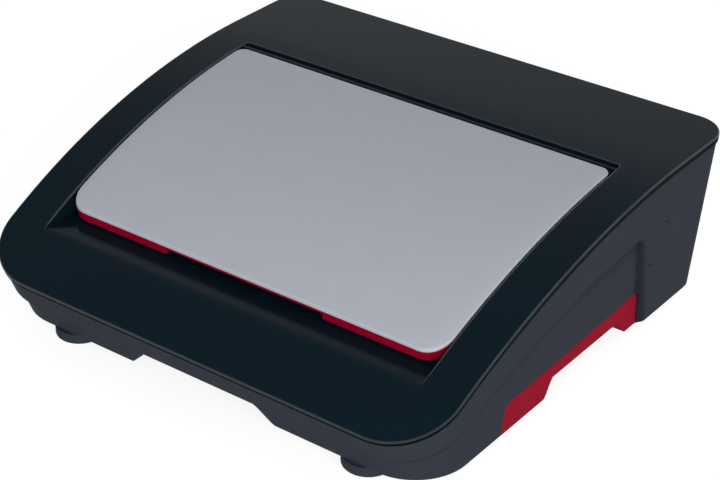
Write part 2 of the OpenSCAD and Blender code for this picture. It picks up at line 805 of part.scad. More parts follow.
// Chip drawer: tray, flanges and a face that lies in the flared right wall
module chip_drawer() color("#a51830") {
    face_x = half_w(z0) - panel_inset;
    difference() {
        union() {
            block([-drawer_reach, tray_front_y, drawer_bottom_z], [tray_end_x, tray_rear_y, z0 + tray_h]);
            block([-drawer_reach, tray_front_y - drawer_flange, flange_z],
                [tray_end_x, tray_rear_y + drawer_flange, flange_z + drawer_t]);
            difference() {
                intersection() {
                    along_x(chassis_x, far) drawer_outline(0, drawer_bottom_z);
                    block([tray_end_x - eps, drawer_front_y, drawer_bottom_z],
                        [far, drawer_rear_y, z0 + drawer_h]);
                    translate([face_x, 0, z0]) rotate([0, flare_angle, 0])
                        translate([-far, -far, -far]) cube([far, 2 * far, 2 * far]);
                }
                difference() {
                    block([tray_end_x, tray_front_y + drawer_t, drawer_bottom_z - 1],
                        [face_x - drawer_t, tray_rear_y - drawer_t, z0 + drawer_h]);
                    block([tray_end_x - 1, drawer_front_y, z0 + notch_h],
                        [far, drawer_rear_y, z0 + notch_h + drawer_t]);
                }
                along_x(tray_end_x, far) notch_outline();
            }
        }
        block([-drawer_reach + drawer_t, tray_front_y + drawer_t, drawer_bottom_z + drawer_t],
            [tray_end_x - drawer_t, tray_rear_y - drawer_t, case_h]);
    }
}

// Angle rail beside the tray, with a ledge under its flange
module drawer_rail(web_y, ledge_y, side) {
    x0 = -drawer_reach + rail_end;
    x1 = tray_end_x - rail_end;
    top_z = flange_z - slide_gap;
    block([x0, min(web_y, ledge_y), top_z - rail_ledge_t], [x1, max(web_y, ledge_y), top_z]);
    block([x0, min(web_y, web_y + side * rail_t), floor_z], [x1, max(web_y, web_y + side * rail_t), top_z]);
}

module drawer_rail_front() color("#8c9096")
    drawer_rail(drawer_front_y - drawer_gap - rail_side_gap - rail_t, tray_front_y - 1, 1);

module drawer_rail_rear() color("#8c9096")
    drawer_rail(drawer_rear_y + drawer_gap + rail_side_gap + rail_t, tray_rear_y + 1, -1);

module foot(side, y) color("#25282c") translate([side * (case_w / 2 - foot_side_set), y, 0]) {
    rod_z(0, 0, 0, foot_h, foot_d - 2 * foot_step);
    rod_z(0, 0, foot_step, foot_h, foot_d);
}

module foot_front_left() foot(-1, bottom_front_y + foot_front_set);
module foot_front_right() foot(1, bottom_front_y + foot_front_set);
module foot_rear_left() foot(-1, bottom_rear_y - foot_rear_set);
module foot_rear_right() foot(1, bottom_rear_y - foot_rear_set);

module side_cap() color("#3b3f46") on_right(yr - cap_set, z0 + cap_rise) {
    rod_x(-cap_t, 0, 0, 0, cap_d);
    rod_x(-inner_inset + 1, -cap_t, 0, 0, cap_d / 2 - 2 * seat_gap);
}

// Socket shell with an outer flange, on the leaning rear wall
module power_inlet() color("#151618") on_rear(-inlet_x, z0 + inlet_rise)
    rear_socket(inlet_w, inlet_h, inlet_d, inlet_d - socket_t);

module inlet_pins() color("#c8b070") on_rear(-inlet_x, z0 + inlet_rise) for (i = [-1:1])
    translate([i * inlet_w / 4.5, 0, i == 0 ? inlet_h / 10 : -inlet_h / 10])
        rear_box(contact_w, contact_t, -inlet_d + socket_t, -socket_t);

module switch_housing() color("#151618") on_rear(-switch_x, z0 + inlet_rise) difference() {
    rear_socket(switch_w, switch_h, switch_d, switch_d - 2 * socket_t);
    translate([0, -rocker_sink, 0])
        rod_z(0, 0, -switch_h / 2 + rocker_pin_set, switch_h / 2 - rocker_pin_set,
            rocker_pin_d + 2 * run_gap);
}

// Rocker on its own cross pin, stored pressed in at one side
module power_rocker() color("#a51830") on_rear(-switch_x, z0 + inlet_rise)
    translate([0, -rocker_sink, 0]) rotate([0, 0, -rocker_tilt]) {
        rocker_h = switch_h - 2 * socket_t - 2 * slide_gap;
        intersection() {
            rod_z(0, 0, -rocker_h / 2, rocker_h / 2, rocker_w);
            rear_box(rocker_w, rocker_h, -2 * rocker_sink, 2 * rocker_sink);
        }
        pin_end = rocker_pin_set + 2 * run_gap;
        rod_z(0, 0, -switch_h / 2 + pin_end, switch_h / 2 - pin_end, rocker_pin_d);
    }

module power_board() color("#2c6a3c") {
    block([psu_x, psu_y, psu_z], [psu_x + psu_w, psu_y + psu_d, psu_z + board_t]);
    for (x = [standoff_d, psu_w - standoff_d], y = [standoff_d, psu_d - standoff_d])
        rod_z(psu_x + x, psu_y + y, floor_z, psu_z, standoff_d);
}

// Laminated core with its winding, on the power board
module transformer() color("#c9b27a") {
    base_z = psu_z + board_t;
    core = transformer_w * core_share;
    translate([psu_x + transformer_w / 2 + 2 * standoff_d, psu_y + psu_d / 2, base_z]) {
        block([-core / 2, -core / 2, 0], [core / 2, core / 2, transformer_h]);
        block([-transformer_w / 2, -core / 4, 0], [transformer_w / 2, core / 4, transformer_h * core_share]);
    }
}

// Floor of the space under the lid, on posts, with standoffs for the control board
module inner_deck() color("#2b2f35") difference() {
    union() {
        block([-well_x, deck_front_y, deck_low_z], [well_x, deck_rear_y, deck_z]);
        mirrored() rod_z(deck_post_x, deck_post_y, floor_z, deck_low_z + 1, deck_post_d);
        rod_z(deck_side_post_x, deck_side_post_y, floor_z, deck_low_z + 1, deck_post_d);
        board_corners() rod_z(0, 0, board_z + board_t, deck_low_z + 1, standoff_d);
    }
    block([-guard_x, guard_y, deck_low_z - 1], [guard_x, deck_rear_y + 1, deck_z + 1]);
    mirrored() block([chassis_x - seat_gap, chassis_nose_y - seat_gap, deck_low_z - 1],
        [chassis_x + chassis_t + seat_gap, deck_rear_y + 1, deck_z + 1]);
    rod_z(button_x, button_y, deck_low_z - 1, deck_z + 1, button_d + 2 * seat_gap);
    rod_z(lever_x, lever_y, deck_low_z - 1, deck_z + 1, lever_pin_d);
    mirrored() rod_z(stud_x, stud_y, deck_low_z - 1, deck_z + 1, stud_d);
}

// Front wall of the space under the lid, up to the sill
module deck_apron() color("#2b2f35")
    block([-open_x + seat_gap, deck_front_y, deck_z],
        [open_x - seat_gap, deck_front_y + well_t, sill_z - well_t - seat_gap]);

// Wall that keeps the falling chips away from the comb opener
module chip_guard() color("#2b2f35")
    block([-guard_x, guard_y - well_t, deck_z], [guard_x, guard_y, guard_z]);

// Walls of the paper slot, standing on the punch plates, with a low window for the edge guide
module paper_chute() color("#1f2329") {
    front_y = slot_front_y - well_t;
    top_z = arch_z(front_y) - frame_t - seat_gap;
    window_x = guide_stop_x - 2 * slide_gap;
    window_w = guide_travel + guide_stop_w + 4 * slide_gap;
    difference() {
        block([-well_x, front_y, die_top_z], [well_x, slot_rear_y + well_t, top_z]);
        block([-open_x, slot_front_y, die_top_z - 1], [open_x, slot_rear_y, top_z + 1]);
        block([window_x, front_y - 1, die_top_z - 1],
            [window_x + window_w, slot_front_y + 1, die_top_z + guide_tab_h + 2 * slide_gap]);
    }
}

// Sliding stop for the sheet's edge, with a tab that reaches under the lid
module edge_guide() color("#c9cdd3") {
    x1 = guide_stop_x + guide_stop_w;
    low_z = die_top_z + slide_gap;
    block([guide_stop_x, slot_front_y + slide_gap, low_z],
        [x1, slot_rear_y - slide_gap, die_top_z + guide_stop_h]);
    block([guide_stop_x, slot_front_y - well_t - guide_tab_l, low_z],
        [x1, slot_front_y + 1, die_top_z + guide_tab_h]);
}

module paper_stop() color("#9a9ea4")
    block([-chassis_x, die_rear_y, die_low_z], [chassis_x, stripper_front_y, punch_z - hole_margin]);

module chassis_profile() polygon([[chassis_front_y, floor_z], [chassis_floor_rear_y, floor_z],
    [chassis_rear_y, shaft_z], [chassis_rear_y, chassis_top_z],
    [chassis_step_y, chassis_top_z], [chassis_step_y, die_top_z],
    [chassis_nose_y, die_top_z], [chassis_nose_y, chassis_nose_z], [chassis_front_y, chassis_nose_z]]);

// Steel side plate with a foot flange and the shaft hole
module chassis_plate() difference() {
    union() {
        along_x(chassis_x, chassis_x + chassis_t) chassis_profile();
        block([chassis_x - chassis_foot_w, chassis_front_y + 1, floor_z],
            [chassis_x + eps, chassis_floor_rear_y - 1, floor_z + chassis_foot_t]);
    }
    rod_x(chassis_x - 1, chassis_x + chassis_t + 1, shaft_y, shaft_z, shaft_d + 2 * bush_t);
    chassis_screw_places() rod_z(0, 0, floor_z - 1, floor_z + chassis_foot_t + 1, screw_d + screw_slack);
}

module chassis_screw_places() for (side = [-1, 1],
    y = [chassis_front_y + chassis_screw_set, chassis_floor_rear_y - chassis_screw_set])
    translate([side * (chassis_x - chassis_foot_w / 2 - 1), y, 0]) children();

module chassis_left() color("#a7abb0") difference() {
    mirror([1, 0, 0]) chassis_plate();
    rod_x(-chassis_x - chassis_t - 1, -chassis_x + 1, motor_y, motor_z, motor_shaft_d + 2);
}

module chassis_right() color("#a7abb0") chassis_plate();

module hole_row(grow, y0, y1) for (i = [-row_half:row_half])
    block([i * hole_pitch - hole_w / 2 - grow, y0, punch_z - hole_h / 2 - grow],
        [i * hole_pitch + hole_w / 2 + grow, y1, punch_z + hole_h / 2 + grow]);

module die_plate() color("#b4b7bb") difference() {
    block([-chassis_x, die_front_y, die_low_z], [chassis_x, die_rear_y, die_top_z]);
    hole_row(pin_gap, die_front_y - 1, die_rear_y + 1);
}

module stripper_plate() color("#b4b7bb") difference() {
    block([-chassis_x, stripper_front_y, die_low_z], [chassis_x, stripper_rear_y, die_top_z]);
    hole_row(pin_gap, stripper_front_y - 1, stripper_rear_y + 1);
    mirrored() rod_y(guide_x, stripper_front_y - 1, stripper_rear_y + 1, punch_z, rod_d);
}

module punch_pins() color("#d0d2d5") hole_row(0, pin_tip_y, bar_front_y);

module pressure_bar() color("#85898f") difference() {
    block([-bar_half_w, bar_front_y, punch_z - bar_h / 2], [bar_half_w, bar_rear_y, punch_z + bar_h / 2]);
    mirrored() rod_y(guide_x, bar_front_y - 1, bar_rear_y + 1, punch_z, rod_d + 2 * run_gap);
}

module guide_rods() color("#d0d2d5") mirrored()
    rod_y(guide_x, stripper_front_y, bar_rear_y + guide_end, punch_z, rod_d);

module drive_shaft() color("#c4c6c9")
    rod_x(-gear_x - gear_w - shaft_end, chassis_x + chassis_t + 2 * bush_flange_t,
        shaft_y, shaft_z, shaft_d);

// Two heart-shaped cams that push the pressure bar
module drive_cams() color("#8f9398") for (side = [-1, 1])
    along_x(side * cam_x - cam_w / 2, side * cam_x + cam_w / 2) translate([shaft_y, shaft_z]) difference() {
        polygon([for (b = [0:3:357]) [cam_radius(b) * cos(b), cam_radius(b) * sin(b)]]);
        circle(d = shaft_d);
    }

module shaft_bushes() color("#b5904c") mirrored() difference() {
    union() {
        rod_x(chassis_x, chassis_x + chassis_t, shaft_y, shaft_z, shaft_d + 2 * bush_t);
        rod_x(chassis_x + chassis_t, chassis_x + chassis_t + bush_flange_t, shaft_y, shaft_z,
            shaft_d + 2 * bush_t + 2 * bush_flange);
    }
    rod_x(chassis_x - 1, chassis_x + chassis_t + 2 * bush_flange_t, shaft_y, shaft_z, shaft_d + 2 * run_gap);
}

module main_gear() color("#e2dfd2")
    along_x(-gear_x - gear_w, -gear_x) translate([shaft_y, shaft_z]) difference() {
        gear_profile(main_teeth, gear_m, motor_bearing);
        circle(d = shaft_d);
    }

module motor_pinion() color("#c4a75a") {
    along_x(-gear_x - gear_w, -gear_x) translate([motor_y, motor_z])
        gear_profile(pinion_teeth, gear_m, motor_bearing + 180 + 180 / pinion_teeth);
    rod_x(-gear_x, -chassis_x + gearbox_t - gear_seat, motor_y, motor_z, motor_shaft_d);
}

module gearbox() color("#5a5e64") difference() {
    block([-chassis_x, motor_y - gearbox_w / 2, motor_z - gearbox_w / 2],
        [-chassis_x + gearbox_t, motor_y + gearbox_w / 2, motor_z + gearbox_w / 2]);
    rod_x(-chassis_x - 1, -chassis_x + gearbox_t - gear_seat + slide_gap, motor_y, motor_z,
        motor_shaft_d + 2 * run_gap);
}

module motor_can() color("#8d9197") {
    x0 = -chassis_x + gearbox_t;
    rod_x(x0, x0 + motor_len, motor_y, motor_z, motor_d);
    rod_x(x0 + motor_len, x0 + motor_len + motor_end, motor_y, motor_z, motor_d / 3);
}

// Fixed strip of upright fingers
module comb_fingers() color("#b9bcc1") {
    end_x = fingers_half_w - fingers_end;
    block([-fingers_half_w, fingers_y - finger_t, deck_z],
        [end_x, fingers_y + fingers_foot, deck_z + finger_t]);
    block([-fingers_half_w, fingers_y - finger_t, deck_z], [end_x, fingers_y, deck_z + finger_h / 2]);
    for (i = [-row_half:row_half])
        block([i * hole_pitch - finger_w / 2, fingers_y - finger_t, deck_z],
            [i * hole_pitch + finger_w / 2, fingers_y, deck_z + finger_h]);
}

// Slotted plate that slides on the deck
module hook_plate() color("#b9bcc1") difference() {
    block([-fingers_half_w, hook_y, hook_z], [rack_arm_x, hook_y + hook_plate_d, hook_z + finger_t]);
    mirrored() stud_slot();
}

// Upright strip of hooks on the front edge of the plate
module comb_hooks() color("#c5c8cc") {
    base_z = hook_z + finger_t;
    block([-fingers_half_w, hook_y, base_z],
        [fingers_half_w - fingers_end, hook_y + finger_t, hook_z + finger_h / 2]);
    for (i = [-row_half:row_half - 1]) {
        x = (i + 0.5) * hole_pitch;
        block([x - hook_w / 2, hook_y, base_z], [x + hook_w / 2, hook_y + finger_t, hook_top_z]);
        block([x - hook_w / 2, hook_y + finger_t - hook_reach, hook_top_z - finger_t],
            [x + hook_w / 2, hook_y + finger_t, hook_top_z]);
    }
}

// Toothed arm in front of the plate, lapped over its edge
module hook_rack() color("#b9bcc1") {
    rack_low_y = lever_y - lever_r - hook_travel;
    top_z = hook_z + lever_gear_h;
    block([rack_back_x, rack_low_y - rack_end, hook_z], [rack_arm_x, hook_y, top_z]);
    block([rack_back_x, hook_y - rack_lap, hook_z + finger_t], [rack_arm_x, hook_y + rack_lap, top_z]);
    rack_teeth(rack_low_y);
}

// Straight slot with round ends for a slider stud
module stud_slot() {
    y0 = stud_y - hook_travel - slide_gap;
    y1 = stud_y + slide_gap;
    d = stud_d + 2 * slide_gap;
    rod_z(stud_x, y0, hook_z - 1, hook_z + finger_t + 1, d);
    rod_z(stud_x, y1, hook_z - 1, hook_z + finger_t + 1, d);
    block([stud_x - d / 2, y0, hook_z - 1], [stud_x + d / 2, y1, hook_z + finger_t + 1]);
}

// Rack teeth that face -X, in step with the lever's pinion
module rack_teeth(low_y) {
    pitch = PI * lever_m;
    count = floor((lever_y + lever_r - low_y) / pitch);
    root_x = rack_back_x + eps;
    tip_x = rack_x - tooth_tip * lever_m;
    root_half = tooth_root_half * lever_m;
    tip_half = tooth_tip_half * lever_m;
    for (i = [-count:count]) {
        y = lever_y + (i + 0.5) * pitch;
        if (y > low_y && y < lever_y + lever_r)
            translate([0, 0, hook_z]) linear_extrude(lever_gear_h)
                polygon([[root_x, y - root_half], [tip_x, y - tip_half],
                    [tip_x, y + tip_half], [root_x, y + root_half]]);
    }
}

module slider_studs() color("#d0d2d5") mirrored() {
    rod_z(stud_x, stud_y, deck_low_z, stud_head_z, stud_d);
    rod_z(stud_x, stud_y, stud_head_z, stud_head_z + stud_head_t, stud_d + 2 * stud_head);
}

// Swinging lever with a toothed sector towards the rack
module comb_lever() color("#2b2f35") translate([lever_x, lever_y, 0]) difference() {
    union() {
        translate([0, 0, lever_z]) linear_extrude(lever_gear_h)
            gear_profile(lever_teeth, lever_m, -lever_turn, 0, 4);
        rod_z(0, 0, lever_z, lever_top_z, lever_hub_d);
        block([-lever_len, -lever_arm_w / 2, lever_arm_z], [0, lever_arm_w / 2, lever_top_z]);
        rod_z(-lever_len, 0, lever_arm_z, lever_top_z, lever_arm_w);
    }
    rod_z(0, 0, lever_z - 1, lever_top_z + 1, lever_pin_d + 2 * run_gap);
}

module lever_pin() color("#d0d2d5") {
    head_z = lever_top_z + slide_gap;
    rod_z(lever_x, lever_y, deck_low_z, head_z, lever_pin_d);
    rod_z(lever_x, lever_y, head_z, head_z + lever_head_t, lever_pin_d + 2 * lever_collar);
    rod_z(lever_x, lever_y, deck_z, lever_z - slide_gap, lever_pin_d + 2 * lever_collar);
}

module lever_knob() color("#a51830")
    rod_z(lever_x - lever_len, lever_y, lever_top_z, lever_top_z + knob_h, knob_d);

module board_corners() for (x = [-1, 1], y = [-1, 1])
    translate([board_x + x * (board_w / 2 - board_corner), board_y + y * (board_d / 2 - board_corner), 0])
        children();

module control_board() color("#2c6a3c")
    block([board_x - board_w / 2, board_y - board_d / 2, board_z],
        [board_x + board_w / 2, board_y + board_d / 2, board_z + board_t]);

module board_switch() color("#303338") {
    base_z = board_z + board_t;
    top_z = base_z + board_switch_h;
    half = board_switch_w / 2;
    block([button_x - half, button_y - half, base_z], [button_x + half, button_y + half, top_z]);
    rod_z(button_x, button_y, top_z, top_z + plunger_h, plunger_d);
}

// Push button held under the deck by its flange
module punch_button() color("#a51830") {
    rod_z(button_x, button_y, button_under_z, deck_z + button_rise, button_d);
    rod_z(button_x, button_y, button_under_z, button_under_z + button_flange_t, button_d + 2 * button_flange);
}

module case_screws() color("#d0d2d5") {
    case_screw_holes(screw_head_d, z0 + screw_sink, z0 + screw_sink + screw_head_h);
    case_screw_holes(screw_d - screw_seat, z0 + screw_sink, post_top_z + screw_bite - 2);
}

module chassis_screws() color("#d0d2d5") chassis_screw_places() {
    head_z = floor_z + chassis_foot_t;
    rod_z(0, 0, z0 + screw_slack, head_z, screw_d - screw_slack - screw_seat);
    rod_z(0, 0, head_z, head_z + screw_head_h, screw_head_d - 1);
}

lower_case();
top_frame();
lid_panel();
lid_liner();
lid_hinge_pins();
lid_bumpers();
chip_drawer();
drawer_rail_front();
drawer_rail_rear();
foot_front_left();
foot_front_right();
foot_rear_left();
foot_rear_right();
side_cap();
power_inlet();
inlet_pins();
switch_housing();
power_rocker();
power_board();
transformer();
inner_deck();
deck_apron();
chip_guard();
paper_chute();
edge_guide();
paper_stop();
chassis_left();
chassis_right();
die_plate();
stripper_plate();
punch_pins();
pressure_bar();
guide_rods();
drive_shaft();
drive_cams();
shaft_bushes();
main_gear();
motor_pinion();
gearbox();
motor_can();
comb_fingers();
hook_plate();
comb_hooks();
hook_rack();
slider_studs();
comb_lever();
lever_pin();
lever_knob();
control_board();
board_switch();
punch_button();
case_screws();
chassis_screws();
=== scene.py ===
import json
import math
import bpy
import bmesh
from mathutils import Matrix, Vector

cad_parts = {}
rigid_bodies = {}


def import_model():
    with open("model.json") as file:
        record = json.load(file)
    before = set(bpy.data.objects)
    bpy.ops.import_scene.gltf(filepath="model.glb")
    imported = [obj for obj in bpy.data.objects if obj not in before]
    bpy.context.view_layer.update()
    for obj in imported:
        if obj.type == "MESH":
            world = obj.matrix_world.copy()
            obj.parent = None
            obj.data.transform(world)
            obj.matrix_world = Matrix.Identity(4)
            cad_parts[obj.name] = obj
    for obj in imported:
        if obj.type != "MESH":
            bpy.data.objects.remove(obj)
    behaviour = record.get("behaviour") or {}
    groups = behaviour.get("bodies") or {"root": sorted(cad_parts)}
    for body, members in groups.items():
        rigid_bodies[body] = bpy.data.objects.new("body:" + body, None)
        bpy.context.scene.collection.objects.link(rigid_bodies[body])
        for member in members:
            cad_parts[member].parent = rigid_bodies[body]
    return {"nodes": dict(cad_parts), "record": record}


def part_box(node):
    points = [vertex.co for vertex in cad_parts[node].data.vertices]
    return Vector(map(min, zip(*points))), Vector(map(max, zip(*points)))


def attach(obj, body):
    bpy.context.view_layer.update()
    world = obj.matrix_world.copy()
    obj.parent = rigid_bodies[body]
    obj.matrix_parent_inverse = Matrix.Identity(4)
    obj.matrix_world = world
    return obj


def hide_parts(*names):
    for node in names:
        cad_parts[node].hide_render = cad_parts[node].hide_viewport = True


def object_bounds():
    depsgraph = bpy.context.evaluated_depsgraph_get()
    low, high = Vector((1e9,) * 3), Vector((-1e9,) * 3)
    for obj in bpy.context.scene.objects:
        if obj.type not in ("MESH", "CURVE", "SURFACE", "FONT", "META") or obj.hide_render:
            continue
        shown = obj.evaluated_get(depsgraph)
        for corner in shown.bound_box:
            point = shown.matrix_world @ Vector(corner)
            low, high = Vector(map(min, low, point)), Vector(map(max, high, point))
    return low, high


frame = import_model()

low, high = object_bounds()
for ob in list(bpy.data.objects):
    if ob.type in {"LIGHT", "CAMERA"} or ob.name == "Cube":
        bpy.data.objects.remove(ob)

# Sizes in millimetres; the mesh helpers turn them into metres
MM = 0.001
YF, YR = low[1] / MM, high[1] / MM
TOP = high[2] / MM
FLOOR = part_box("lower_case")[0][2] / MM
# Walls and corners of the body, seen from above and from the side
OVERHANG = 1.0
SIDE_FLARE, FRONT_LEAN, REAR_LEAN = 0.067, 0.36, 0.13
FRONT_R, REAR_R, REAR_GROW = 48.0, 19.0, 7.5
APEX_BACK, ARCH_DROP = 76.5, 87.94
# Rim and skin of the frame
RIM_H, RIM_MORE, RIM_T, SKIN, SEAM = 3.8, 1.8, 5.0, 3.0, 0.5
RIM_START, RIM_RUN = 20.0, 160.0
# Walls and crease of the case
PANEL_INSET, WALL, BASE_T = 4.0, 2.8, 3.0
CREASE_FRONT, CREASE_DROP, CREASE_BACK = 18.0, 44.0, 101.0
CREASE_TOP_SET, CREASE_FOOT_SET = 119.0, 98.0
CREASE_SOFT, CREASE_W, CREASE_W_MORE = 9.0, 3.4, 6.1
# Lid opening, paper slot and the bridge between them
OPEN_X, WELL_T = 178.3, 3.0
SLOT_BACK, SLOT_W, BRIDGE = 108.5, 4.8, 3.0
BRIDGE_DROP, BRIDGE_SOFT, BRIDGE_TUCK = 0.75, 0.7, 2.6
SILL_UNDER_LID = 10.0

APEX = YR - APEX_BACK
ARCH_RUN = APEX - YF
ARCH_R = (ARCH_RUN ** 2 + ARCH_DROP ** 2) / (2 * ARCH_DROP)
ARCH_Z = TOP - ARCH_R
SLOT_Y = YR - SLOT_BACK
OPEN_REAR = SLOT_Y - SLOT_W / 2 - BRIDGE
LID_LOW, LID_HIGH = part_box("lid_panel")
LID_X, LID_FRONT, LID_REAR = LID_HIGH[0] / MM, LID_LOW[1] / MM, LID_HIGH[1] / MM
SILL_BACK = LID_FRONT + SILL_UNDER_LID
SLOT_END = SLOT_Y + SLOT_W / 2
LID_FLARE, LID_LEVEL = 0.06, 122.6


def slope(f, y, step):
    return (f(y + step) - f(y - step)) / (2 * step)


def arch(y, depth=0.0):
    return ARCH_Z + math.sqrt((ARCH_R - depth) ** 2 - min(y - APEX, 0.0) ** 2)


# The lid and its opening widen towards the rear as the side walls flare
def taper(x, y):
    return x * (1 + LID_FLARE * (arch(y) - LID_LEVEL) / LID_X)


# Sill in front of the lid: the frame bends into it without an edge
FOLD_Y, SILL_Z, OPEN_SET = -160.5, 75.2, 0.8
FOLD_SLOPE = slope(arch, FOLD_Y, 0.1)
FOLD_RUN = 2 * (SILL_Z - arch(FOLD_Y)) / FOLD_SLOPE
OPEN_FRONT = FOLD_Y + OPEN_SET


def sill(y):
    t = min(max(y - FOLD_Y, 0.0), FOLD_RUN)
    return arch(FOLD_Y) + FOLD_SLOPE * (t - t * t / (2 * FOLD_RUN))


HALF_LOW = high[0] / MM - OVERHANG - SIDE_FLARE * (TOP - FLOOR)
FRONT_LOW = YF + OVERHANG + FRONT_LEAN * (arch(YF) - FLOOR)
REAR_LOW = YR - OVERHANG - REAR_LEAN * (TOP - FLOOR)


def half_w(z):
    return HALF_LOW + SIDE_FLARE * (z - FLOOR)


def front_y(z):
    return FRONT_LOW - FRONT_LEAN * (z - FLOOR)


def rear_y(z):
    return REAR_LOW + REAR_LEAN * (z - FLOOR)


def rear_r(z):
    return REAR_R + REAR_GROW * (z - FLOOR) / (TOP - FLOOR)


# The rim is a little deeper along the sides and the rear than at the front
def rim(y):
    return RIM_H + RIM_MORE * smooth_step((y - YF - RIM_START) / RIM_RUN)


# Crease of the lower case: an arc that turns down into a steep line at the rear
CREASE_APEX = YR - CREASE_BACK
CREASE_TOP = TOP - CREASE_DROP
CREASE_RISE = CREASE_TOP - FLOOR - CREASE_FRONT
CREASE_R = ((CREASE_APEX - YF) ** 2 + CREASE_RISE ** 2) / (2 * CREASE_RISE)
CREASE_Y1, CREASE_Y2 = YR - CREASE_TOP_SET, YR - CREASE_FOOT_SET
FAR = 30.0


def crease(y):
    arc = CREASE_TOP - CREASE_R + math.sqrt(CREASE_R ** 2 - (y - CREASE_APEX) ** 2)
    drop = CREASE_TOP - (y - CREASE_Y1) * (CREASE_TOP - FLOOR) / (CREASE_Y2 - CREASE_Y1)
    gap = (arc - drop) / CREASE_SOFT
    if abs(gap) > FAR:
        return min(arc, drop)
    return drop - CREASE_SOFT * math.log(1 + math.exp(-gap)) if gap > 0 else \
        arc - CREASE_SOFT * math.log(1 + math.exp(gap))


def crease_steep(y):
    return math.sqrt(1 + slope(crease, y, 0.05) ** 2)


def smooth_step(t):
    t = min(max(t, 0.0), 1.0)
    return t * t * (3 - 2 * t)


def crease_width(y):
    steep = crease_steep(y)
    return CREASE_W + CREASE_W_MORE * (1 - 1 / (steep * steep))


def crease_grow(y, z):
    away = (z - crease(y)) / crease_steep(y)
    return -PANEL_INSET * (1 - smooth_step(away / crease_width(y) + 1))


# Rings round the body: every point lies between two places on the corners
def spread(a, b, n):
    return [a + (b - a) * i / n for i in range(n + 1)]


# Points on a corner and an end, and along a side, where they lie closer at the drop of the crease
CORNER_N, END_N = 14, 14
DROP_FROM, DROP_TO = 0.7, 0.88
SIDE_T = spread(0, DROP_FROM, 16) + spread(DROP_FROM, DROP_TO, 44) + spread(DROP_TO, 1, 4)
SIDE_T = sorted(set(round(t, 4) for t in SIDE_T))
MID_Z, SETTLE = 60.0, 30


def ring_places():
    places = []
    corners = [(1, 0, -90), (1, 1, 0), (-1, 1, 90), (-1, 0, 180)]
    sides = [SIDE_T, spread(0, 1, END_N), [1 - t for t in reversed(SIDE_T)], spread(0, 1, END_N)]
    for k in range(4):
        sx, end, start = corners[k]
        for a in spread(start, start + 90, CORNER_N):
            places.append(((sx, end, a), (sx, end, a), 0.0))
        nx, nend, nstart = corners[(k + 1) % 4]
        for t in sides[k][1:-1]:
            places.append(((sx, end, start + 90), (nx, nend, nstart), t))
    return places


PLACES = ring_places()


def rounded(place, hw, y0, y1, rf, rr, grow=0.0):
    out = []
    for sx, end, a in place[:2]:
        r = (rf, rr)[end]
        cy = y0 + rf if end == 0 else y1 - rr
        reach = max(r + grow, 0.0)
        turn = math.radians(a)
        out.append((sx * (hw - r) + reach * math.cos(turn), cy + reach * math.sin(turn)))
    t = place[2]
    return out[0][0] * (1 - t) + out[1][0] * t, out[0][1] * (1 - t) + out[1][1] * t


# A ring whose height depends on Y, and its outline on the height, so that each point is found in steps
def body_ring(grow, level):
    ring = []
    for place in PLACES:
        y = place_y(place)
        for _ in range(SETTLE):
            z = level(y)
            x, y = rounded(place, half_w(z), front_y(z), rear_y(z), FRONT_R, rear_r(z), grow(y, z))
        ring.append((x, y, level(y)))
    return ring


def place_y(place):
    return rounded(place, half_w(MID_Z), front_y(MID_Z), rear_y(MID_Z), FRONT_R, REAR_R)[1]


# Mesh helpers
def finish_mesh(me, sharp):
    bm = bmesh.new()
    bm.from_mesh(me)
    bmesh.ops.recalc_face_normals(bm, faces=bm.faces)
    bm.to_mesh(me)
    bm.free()
    me.shade_smooth()
    me.set_sharp_from_angle(angle=math.radians(sharp))


def piece(name, verts, faces, sharp=35):
    me = bpy.data.meshes.new(name)
    me.from_pydata([(x * MM, y * MM, z * MM) for x, y, z in verts], [], faces)
    finish_mesh(me, sharp)
    ob = bpy.data.objects.new(name, me)
    bpy.context.collection.objects.link(ob)
    return ob


def loft(rings, closed=False):
    n = len(rings[0])
    verts = [p for ring in rings for p in ring]
    faces = []
    pairs = [(i, i + 1) for i in range(len(rings) - 1)] + ([(len(rings) - 1, 0)] if closed else [])
    for a, b in pairs:
        for j in range(n):
            k = (j + 1) % n
            faces.append((a * n + j, a * n + k, b * n + k, b * n + j))
    if not closed:
        faces.append(tuple(reversed(range(n))))
        faces.append(tuple(range((len(rings) - 1) * n, len(rings) * n)))
    return verts, faces


def join(*parts):
    verts, faces = [], []
    for v, f in parts:
        base = len(verts)
        verts += v
        faces += [tuple(i + base for i in face) for face in f]
    return verts, faces


def prism_x(profile, x0, x1):
    return loft([[(x, y, z) for y, z in profile] for x in (x0, x1)])


def prism_y(profile, y0, y1):
    return loft([[(x, y, z) for x, z in profile] for y in (y0, y1)])


def prism_z(profile, z0, z1):
    return loft([[(x, y, z) for x, y in profile] for z in (z0, z1)])


def box_solid(lo, hi):
    return prism_z([(lo[0], lo[1]), (hi[0], lo[1]), (hi[0], hi[1]), (lo[0], hi[1])], lo[2], hi[2])


def circle(r, n):
    return [(r * math.cos(2 * math.pi * i / n), r * math.sin(2 * math.pi * i / n)) for i in range(n)]


def lathe(profile, cx, cy, n=64, least=0.01):
    rings = []
    for r, z in profile:
        rings.append([(cx + max(r, least) * c, cy + max(r, least) * s, z) for c, s in circle(1.0, n)])
    return loft(rings)


